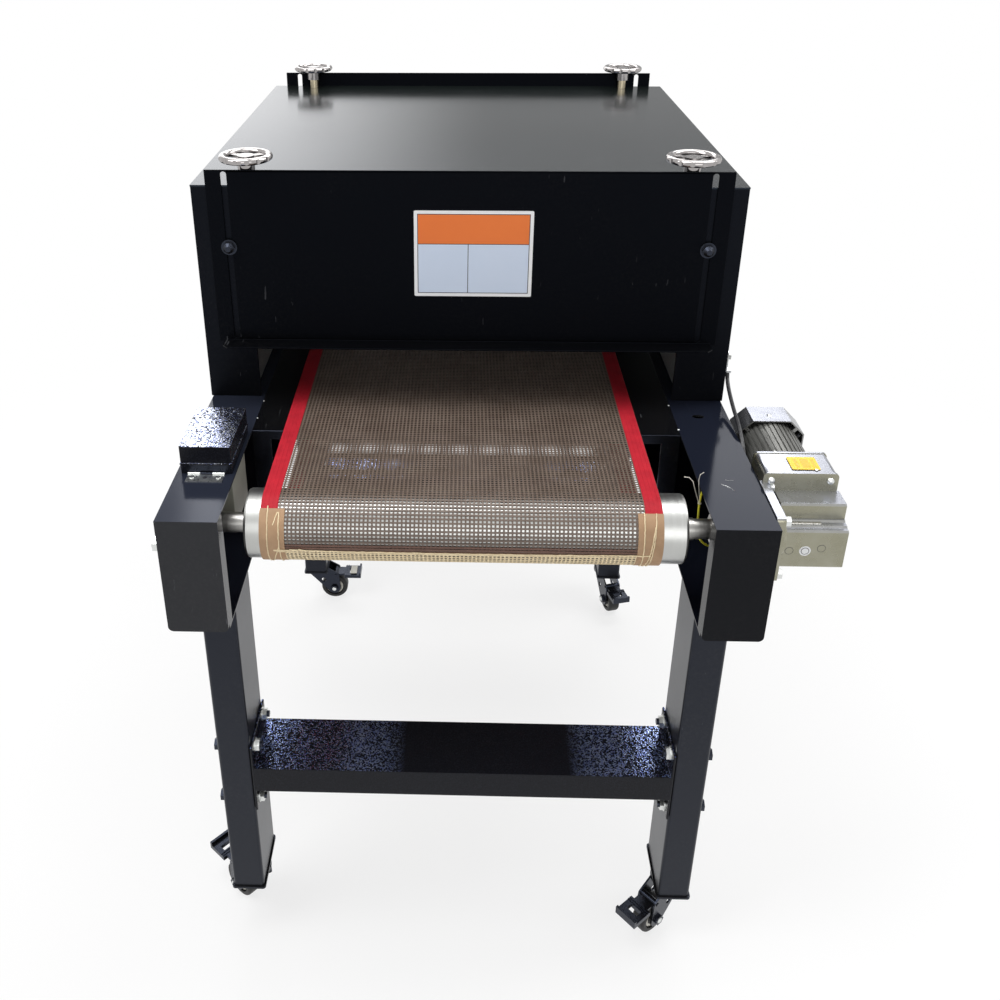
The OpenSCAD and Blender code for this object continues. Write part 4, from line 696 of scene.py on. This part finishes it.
def makeBelt():
    b = belt
    inner = b["inner"]
    path = loopPoints(inner, b["arcSteps"])
    width = b["right"] - b["left"]
    # lengthwise strands
    bm = bmesh.new()
    count = int(width // b["pitch"])
    first = b["left"] + (width - count * b["pitch"]) / 2
    ribbon(bm, first, first + b["strand"][0], path, b["strand"][1], True)
    outward(bm)
    along = grow("beltLengthwiseStrands", bm, repeatRow, dict(Count=count + 1, Step=(b["pitch"] * mm, 0, 0),
                                                              Material=soft["strand"]), "machine", 40)
    # crosswise strands, a little above the others
    r = inner + b["strand"][1]
    length = 2 * (b["idlerY"] - b["driveY"]) + 2 * math.pi * r
    middle = (b["left"] + b["right"]) / 2
    bm = pathMesh([place(middle, y, z) for y, z in loopPoints(r, b["crossArcSteps"])], True)
    size = ((width - b["crossInset"]) * mm, b["cross"][0] * mm, b["cross"][1] * mm)
    across = grow("beltCrosswiseStrands", bm, barsOnPath,
                  dict(Count=int(length / b["pitch"]), Size=size, Material=soft["strand"]), "machine")
    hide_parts("belt")


def seamPath(start, end, r, steps=26):
    return [onDrive(start + (end - start) * i / steps, r) for i in range(steps + 1)][::-1]


def makeBands():
    b, c, p = belt, bands, patches
    r = b["inner"] - c["sunk"]
    full = loopPoints(r, c["arcSteps"])
    bm = bmesh.new()
    for x0 in (b["left"], b["right"] - c["wide"]):
        ribbon(bm, x0, x0 + c["wide"], full, c["thick"], True)
    outward(bm)
    newPiece("beltEdgeBands", bm, soft["red"], "machine", 40)
    # ribs woven along each band
    bm = bmesh.new()
    raised = loopPoints(r + c["thick"], c["arcSteps"])
    for x0 in (b["left"], b["right"] - c["wide"]):
        for k in range(c["ribs"]):
            x = x0 + c["wide"] * (k + 0.5) / c["ribs"]
            ribbon(bm, x - c["ribHalf"], x + c["ribHalf"], raised, c["ribHigh"], True)
    outward(bm)
    newPiece("beltBandRibs", bm, soft["red"], "machine", 40)
    # tan patches where the seam meets the bands
    bm = bmesh.new()
    path = seamPath(p["start"], p["end"], b["inner"] + c["thick"] + p["lift"])
    for x0 in (b["left"] - p["over"], b["right"] - p["wide"]):
        ribbon(bm, x0, x0 + p["over"] + p["wide"], path, p["thick"], False)
    outward(bm)
    newPiece("splicePatches", bm, soft["tan"], "machine", 40)


seam = dict(darkStart=92, darkStep=5, darkTurn=3.4, darkOver=2, darkThick=0.25, creamStart=106, creamEnd=165,
            gap=2, lengthwise=(-1, 0.9), lengthLift=0.1, lengthSteps=14, spacing=0.95, crossStep=6.6,
            crossTurn=2.6, crossLift=0.3, crossOver=2, shortSteps=3, creamThick=0.3)


def makeSeam():
    b, c = belt, seam
    left, right = b["left"] + patches["wide"], b["right"] - patches["wide"]
    r = b["inner"] + b["strand"][1] + b["cross"][1] / 2
    # reddish strip: extra crosswise strands close together
    bm = bmesh.new()
    for angle in range(c["darkStart"], c["creamStart"] - c["gap"], c["darkStep"]):
        path = seamPath(angle, angle + c["darkTurn"], r, c["shortSteps"])
        ribbon(bm, left - c["darkOver"], right + c["darkOver"], path, c["darkThick"], False)
    outward(bm)
    newPiece("seamDarkStrands", bm, soft["strandDark"], "machine", 40)
    # cream strip: strands both ways with open squares
    bm = bmesh.new()
    path = seamPath(c["creamStart"], c["creamEnd"], r + c["lengthLift"], c["lengthSteps"])
    ribbon(bm, *(left + x for x in c["lengthwise"]), path, c["creamThick"], False)
    outward(bm)
    count = int((right - left) / (b["pitch"] * c["spacing"]))
    step = ((right - left) / (count - 1) * mm, 0, 0)
    piece = grow("seamCreamLengthwise", bm, repeatRow, dict(Count=count, Step=step, Material=soft["cream"]),
                 "machine", 40)
    bm = bmesh.new()
    angle = c["creamStart"] + c["gap"]
    while angle < c["creamEnd"]:
        path = seamPath(angle, angle + c["crossTurn"], r + c["crossLift"], c["shortSteps"])
        ribbon(bm, left - c["crossOver"], right + c["crossOver"], path, c["creamThick"], False)
        angle += c["crossStep"]
    outward(bm)
    newPiece("seamCreamCrosswise", bm, soft["cream"], "machine", 40)


def ringPoints(centre, u, v, r, sides):
    turns = [2 * math.pi * k / sides for k in range(sides)]
    return [centre + r * (math.cos(t) * u + math.sin(t) * v) for t in turns]


def circle(centre, normal, r, sides):
    u = normal.orthogonal().normalized()
    return ringPoints(centre, u, normal.cross(u), r, sides)


def tubeAlong(bm, points, radius, sides=6):
    # leans away from every direction that the threads and cords run in
    lean = Vector((0.13, 0.21, 0.97))
    rings = []
    n = len(points)
    for i, p in enumerate(points):
        t = (points[min(i + 1, n - 1)] - points[max(i - 1, 0)]).normalized()
        u = t.cross(lean).normalized()
        rings.append([bm.verts.new(q) for q in ringPoints(p, u, t.cross(u), radius, sides)])
    for a, b in zip(rings, rings[1:]):
        for k in range(sides):
            bm.faces.new((a[k], b[k], b[(k + 1) % sides], a[(k + 1) % sides]))
    bm.faces.new(rings[0])
    bm.faces.new(rings[-1][::-1])


threads = dict(lift=0.8, turn=103, sway=2.0, swayRate=3, points=90, leftIn=14, rightIn=12, jitter=0.5,
               radius=0.8, knots=9, knotIn=15, knotStep=3.2, knotLong=9, knotJitter=3, knotLift=0.3,
               knotRadius=0.6, runStep=4, runLift=(-0.1, 0.25), runJitter=0.25, runRadius=0.62)
threadRuns = [  # side, then the offset from the belt's edge and the angle at the start and at the end
    (1, 8, 30, 8, 150), (1, 20, 40, 21, 160), (1, 20, 95, 9, 150), (1, 19, 40, 14, 60),
    (-1, 7, 34, 8, 60), (-1, 8, 60, 13, 150), (-1, 8.5, 55, 17, 150), (-1, 19.5, 33, 20, 150),
]


def makeThreads():
    # cream threads: one along the seam with a knot at its left end, and running lines on the patches
    b, c = belt, threads
    rng = random.Random(7)
    out = b["inner"] + bands["thick"] + c["lift"]
    bm = bmesh.new()
    line = []
    for i in range(c["points"]):
        share = i / (c["points"] - 1)
        x = b["left"] + c["leftIn"] + share * (b["right"] - b["left"] - c["leftIn"] - c["rightIn"])
        turn = c["turn"] + c["sway"] * math.sin(share * c["swayRate"])
        line.append(place(x, *onDrive(turn + rng.uniform(-c["jitter"], c["jitter"]), out)))
    tubeAlong(bm, line, c["radius"] * mm)
    for k in range(c["knots"]):
        x0 = b["left"] + c["knotIn"] + k * c["knotStep"]
        a0, a1 = (c["turn"] + rng.uniform(-c["knotJitter"], c["knotJitter"]) for _ in range(2))
        r = out + c["knotLift"]
        points = [place(x0 + c["knotLong"] * s, *onDrive(a0 + (a1 - a0) * s, r)) for s in (0, 0.5, 1)]
        tubeAlong(bm, points, c["knotRadius"] * mm)
    for side, x0, a0, x1, a1 in threadRuns:
        edge = b["left"] if side > 0 else b["right"]
        points = []
        steps = int(abs(a1 - a0) / c["runStep"]) + 2
        for i in range(steps + 1):
            s = i / steps
            x = edge + side * (x0 + (x1 - x0) * s) + rng.uniform(-c["runJitter"], c["runJitter"])
            points.append(place(x, *onDrive(a0 + (a1 - a0) * s, out + c["runLift"][i % 2])))
        tubeAlong(bm, points, c["runRadius"] * mm)
    outward(bm)
    newPiece("seamThreads", bm, soft["cream"], "machine", 60)


makeBelt()
makeBands()
makeSeam()
makeThreads()
print("belt made")


# stickers, screw heads and other small things
def slab(bm, corners, lift, normal, index=0):
    # a thin plate over the given corners, raised along normal
    low = [bm.verts.new(c) for c in corners]
    high = [bm.verts.new(c + normal * lift) for c in corners]
    n = len(corners)
    sides = [(low[i], low[(i + 1) % n], high[(i + 1) % n], high[i]) for i in range(n)]
    for f in [bm.faces.new(high)] + [bm.faces.new(side) for side in sides]:
        f.material_index = index


def roundedCorners(a, b, c, d, r, steps=4):
    # the outline of the quad a b c d with each corner rounded, from r before it to r after it
    out = []
    quad = [a, b, c, d]
    for i in range(4):
        p, before, after = quad[i], quad[i - 1], quad[(i + 1) % 4]
        u, v = (before - p).normalized() * r, (after - p).normalized() * r
        for k in range(steps + 1):
            t = k / steps
            out.append(p + u * (1 - t) ** 2 + v * t ** 2)
    return out


label = dict(left=-63.0, right=78.0, low=812.0, high=919.0, y=-2.32, band=878.0, edge=4.0, lineWidth=0.9,
             divide=1.3, border=0.12, rules=0.16, fields=0.2, borderRound=2, fieldRound=0.4)


def makeLabel():
    # a blank sticker: white border, orange band over a pale field in two parts, with dark rules
    s = label
    left, right, low, high = s["left"], s["right"], s["low"], s["high"]
    e, half = s["edge"], s["lineWidth"] / 2
    inset = e + s["lineWidth"]
    layers = [  # left, right, low, high, thickness, index of its look
        (left, right, low, high, s["border"], 0), (left + e, right - e, low + e, high - e, s["rules"], 1),
        (left + inset, right - inset, s["band"] + half, high - inset, s["fields"], 2),
        (left + inset, s["divide"] - half, low + inset, s["band"] - half, s["fields"], 3),
        (s["divide"] + half, right - inset, low + inset, s["band"] - half, s["fields"], 3),
    ]
    bm = bmesh.new()
    for x0, x1, z0, z1, thick, look in layers:
        q = [place(x, s["y"], z) for x, z in ((x0, z0), (x1, z0), (x1, z1), (x0, z1))]
        r = s["fieldRound"] if look else s["borderRound"]
        slab(bm, roundedCorners(*q, r * mm), thick * mm, forward, look)
    looks = [soft["paperWhite"], soft["ink"], soft["paperOrange"], soft["paperBlue"]]
    newPiece("blankLabel", bm, looks, "front_panel")


def disc(bm, centre, normal, r, lift, index=0, sides=28):
    slab(bm, circle(centre, normal, r, sides), lift, normal, index)


gearStickers = dict(x=(358, 389), y=(-190, -163), corner=2, thick=0.15, lift=0.02,
                    bars=((364, 368), (371, 380), (383, 386)), barY=(-186, -167), barCorner=0.8,
                    barThick=0.2, face=-245.02, roundOnes=(
                        ((366, 617), ((6.2, 0.15, 2), (4.4, 0.2, 3), (3.7, 0.24, 2))),
                        ((349, 617), ((4.6, 0.06, 3), (4.1, 0.1, 4))),
                        ((383, 620.5), ((4.6, 0.06, 3), (4.1, 0.1, 4)))))


def makeGearStickers():
    # a square one on the case's top, and round ones on its front as discs of radius, height and look
    c = gearStickers
    bm = bmesh.new()
    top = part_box("gear_case")[1].z / mm + c["lift"]

    def onTop(xs, ys, corner, thick, look):
        q = [place(x, y, top) for x, y in ((xs[0], ys[0]), (xs[1], ys[0]), (xs[1], ys[1]), (xs[0], ys[1]))]
        slab(bm, roundedCorners(*q, corner * mm), thick * mm, upward, look)

    onTop(c["x"], c["y"], c["corner"], c["thick"], 0)
    for bar in c["bars"]:
        onTop(bar, c["barY"], c["barCorner"], c["barThick"], 1)
    for (x, z), discs in c["roundOnes"]:
        for r, lift, look in discs:
            disc(bm, place(x, c["face"], z), forward, r * mm, lift * mm, look)
    looks = [soft["paperYellow"], soft["paperGold"], soft["paperWhite"], soft["ink"], metal["gearbox"]]
    newPiece("gearboxStickers", bm, looks, "machine")


# how each caster stands in the photograph, in degrees
casterTurns = dict(front_left=138, front_right=221, rear_left=0, rear_right=-75)


def wheelSides(corner):
    # the wheel's centre with the direction in which each end of its axle points
    low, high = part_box("caster_wheel_" + corner)
    a = math.radians(casterTurns[corner])
    across = Vector((-math.sin(a), math.cos(a), 0))
    return [((low + high) / 2, across * side) for side in (-1, 1)]


hubRing = dict(out=7.9, inner=12.3, outer=16.2, sides=28, thick=0.8, merge=0.01)


def makeHubRings():
    # cream bearing ring on both sides of each caster wheel
    c = hubRing
    for corner in casterTurns:
        bm = bmesh.new()
        for centre, out in wheelSides(corner):
            at = centre + out * c["out"] * mm
            inner, outer = (circle(at, out, c[key] * mm, c["sides"]) for key in ("inner", "outer"))
            for k in range(c["sides"]):
                quad = inner[k - 1], outer[k - 1], outer[k], inner[k]
                bm.faces.new([bm.verts.new(q) for q in quad])
        bmesh.ops.remove_doubles(bm, verts=bm.verts, dist=c["merge"] * mm)
        bmesh.ops.solidify(bm, geom=bm.faces[:], thickness=c["thick"] * mm)
        outward(bm)
        piece = newPiece("hubRings_" + corner, bm, soft["hubCream"], "caster_wheel_" + corner, 40)


def dome(bm, centre, normal, r, lift, rings=5, sides=20):
    # a low round head standing on a surface
    last = None
    for i in range(rings):
        a = math.pi / 2 * i / rings
        level = centre + normal * lift * math.sin(a)
        ring = [bm.verts.new(q) for q in circle(level, normal, r * math.cos(a), sides)]
        if last:
            for k in range(sides):
                bm.faces.new((last[k], last[(k + 1) % sides], ring[(k + 1) % sides], ring[k]))
        else:
            bm.faces.new(ring[::-1])
        last = ring
    tip = bm.verts.new(centre + normal * lift)
    for k in range(sides):
        bm.faces.new((last[k], last[(k + 1) % sides], tip))


heads = dict(  # place, direction, radius and height of each round head
    motor=[((366, -63, 685), upward, 3.4, 1.8), ((406, -63, 645), rightward, 3.4, 1.8),
           ((334, -198.6, 677), forward, 4.2, 3.5), ((398, -198.6, 677), forward, 4.2, 3.5),
           ((349, -151.2, 685.6), upward, 2.2, 1.0), ((384, -190, 685.8), upward, 2.0, 0.8)],
    tacks=[((255, -14, 672.1), upward, 1.3, 0.6), ((-255, -14, 672.1), upward, 1.2, 0.6),
           ((256, -77, 672.1), upward, 1.4, 0.7), ((-255, -60, 672.1), upward, 1.0, 0.5)],
)
# a thin dark disc that stands in for the shade inside a hole
hingeHoleShade = dict(at=(-288, -202.5, 673.02), r=2.4, thick=0.05)


def makeHeads():
    # the groups of heads, and a dark disc painted as the shade in a hole of the hinge leaf
    for group, places in heads.items():
        bm = bmesh.new()
        for at, normal, r, lift in places:
            dome(bm, place(*at), normal, r * mm, lift * mm)
        outward(bm)
        newPiece(group + "Heads", bm, metal["zinc"], "machine", 50)
    bm = bmesh.new()
    disc(bm, place(*hingeHoleShade["at"]), upward, hingeHoleShade["r"] * mm, hingeHoleShade["thick"] * mm)
    newPiece("hingeHoleShade", bm, soft["ink"], "machine")


tie = dict(middle=(261.2, -192.4, 642), loop=1.75, sides=14, radius=0.45, ends=(
    ((260, -194, 643), (254, -198, 660), (249, -200, 675), (244, -202, 681), (238, -204, 683)),
    ((261, -194, 643), (257, -199, 664), (254.6, -202, 678), (255, -204, 686), (258, -206, 690))))


def makeTie():
    # a cable tie round the earth wire with its ends left long
    c = tie
    middle, turns = place(*c["middle"]), [2 * math.pi * k / c["sides"] for k in range(c["sides"] + 1)]
    bm = bmesh.new()
    ring = [middle + Vector((math.cos(a), math.sin(a), 0)) * c["loop"] * mm for a in turns]
    tubeAlong(bm, ring, c["radius"] * mm)
    for points in c["ends"]:
        tubeAlong(bm, [place(*p) for p in points], c["radius"] * mm)
    outward(bm)
    newPiece("cableTie", bm, soft["ceramic"], "machine", 50)


scratches = dict(radius=0.13, paths=(
    ((280, -201, 672.1), (285, -204, 672.1), (289, -209, 672.1), (291, -214, 672.1)),
    ((286, -191, 672.1), (291, -193, 672.1), (295, -192, 672.1))))


def makeScratches():
    # two fine scratches on top of the right arm
    bm = bmesh.new()
    for points in scratches["paths"]:
        tubeAlong(bm, [place(*p) for p in points], scratches["radius"] * mm)
    outward(bm)
    newPiece("armScratches", bm, metal["zinc"], "machine", 50)


axleCap = dict(out=17, nutRadius=6.6, nutHigh=0.8, nutSides=6, headRadius=4, headHigh=1.6)


def makeAxleCaps():
    # bright nuts on the caster axles
    c = axleCap
    for corner in casterTurns:
        bm = bmesh.new()
        for centre, out in wheelSides(corner):
            at = centre + out * c["out"] * mm
            disc(bm, at, out, c["nutRadius"] * mm, c["nutHigh"] * mm, 0, c["nutSides"])
            dome(bm, at + out * c["nutHigh"] * mm, out, c["headRadius"] * mm, c["headHigh"] * mm)
        outward(bm)
        newPiece("axleCaps_" + corner, bm, metal["zinc"], "caster_fork_" + corner, 40)


pedalPatch = dict(inset=8, rise=8.2, long=12, half=12, thick=0.4)


def makePedalPatch():
    # a blank patch on one brake pedal
    c = pedalPatch
    low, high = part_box("caster_pedal_rear_left")
    y, z = (low.y + high.y) / 2, low.z + c["rise"] * mm
    x1 = high.x - c["inset"] * mm
    x0, y0, y1 = x1 - c["long"] * mm, y - c["half"] * mm, y + c["half"] * mm
    bm = bmesh.new()
    slab(bm, [Vector((x0, y0, z)), Vector((x1, y0, z)), Vector((x1, y1, z)), Vector((x0, y1, z))],
         c["thick"] * mm, upward)
    newPiece("pedalPatch", bm, soft["hubCream"], "caster_pedal_rear_left")


makeHeads()
makeTie()
makeScratches()
makeAxleCaps()
makePedalPatch()
makeLabel()
makeGearStickers()
makeHubRings()
print("stickers and rings made")
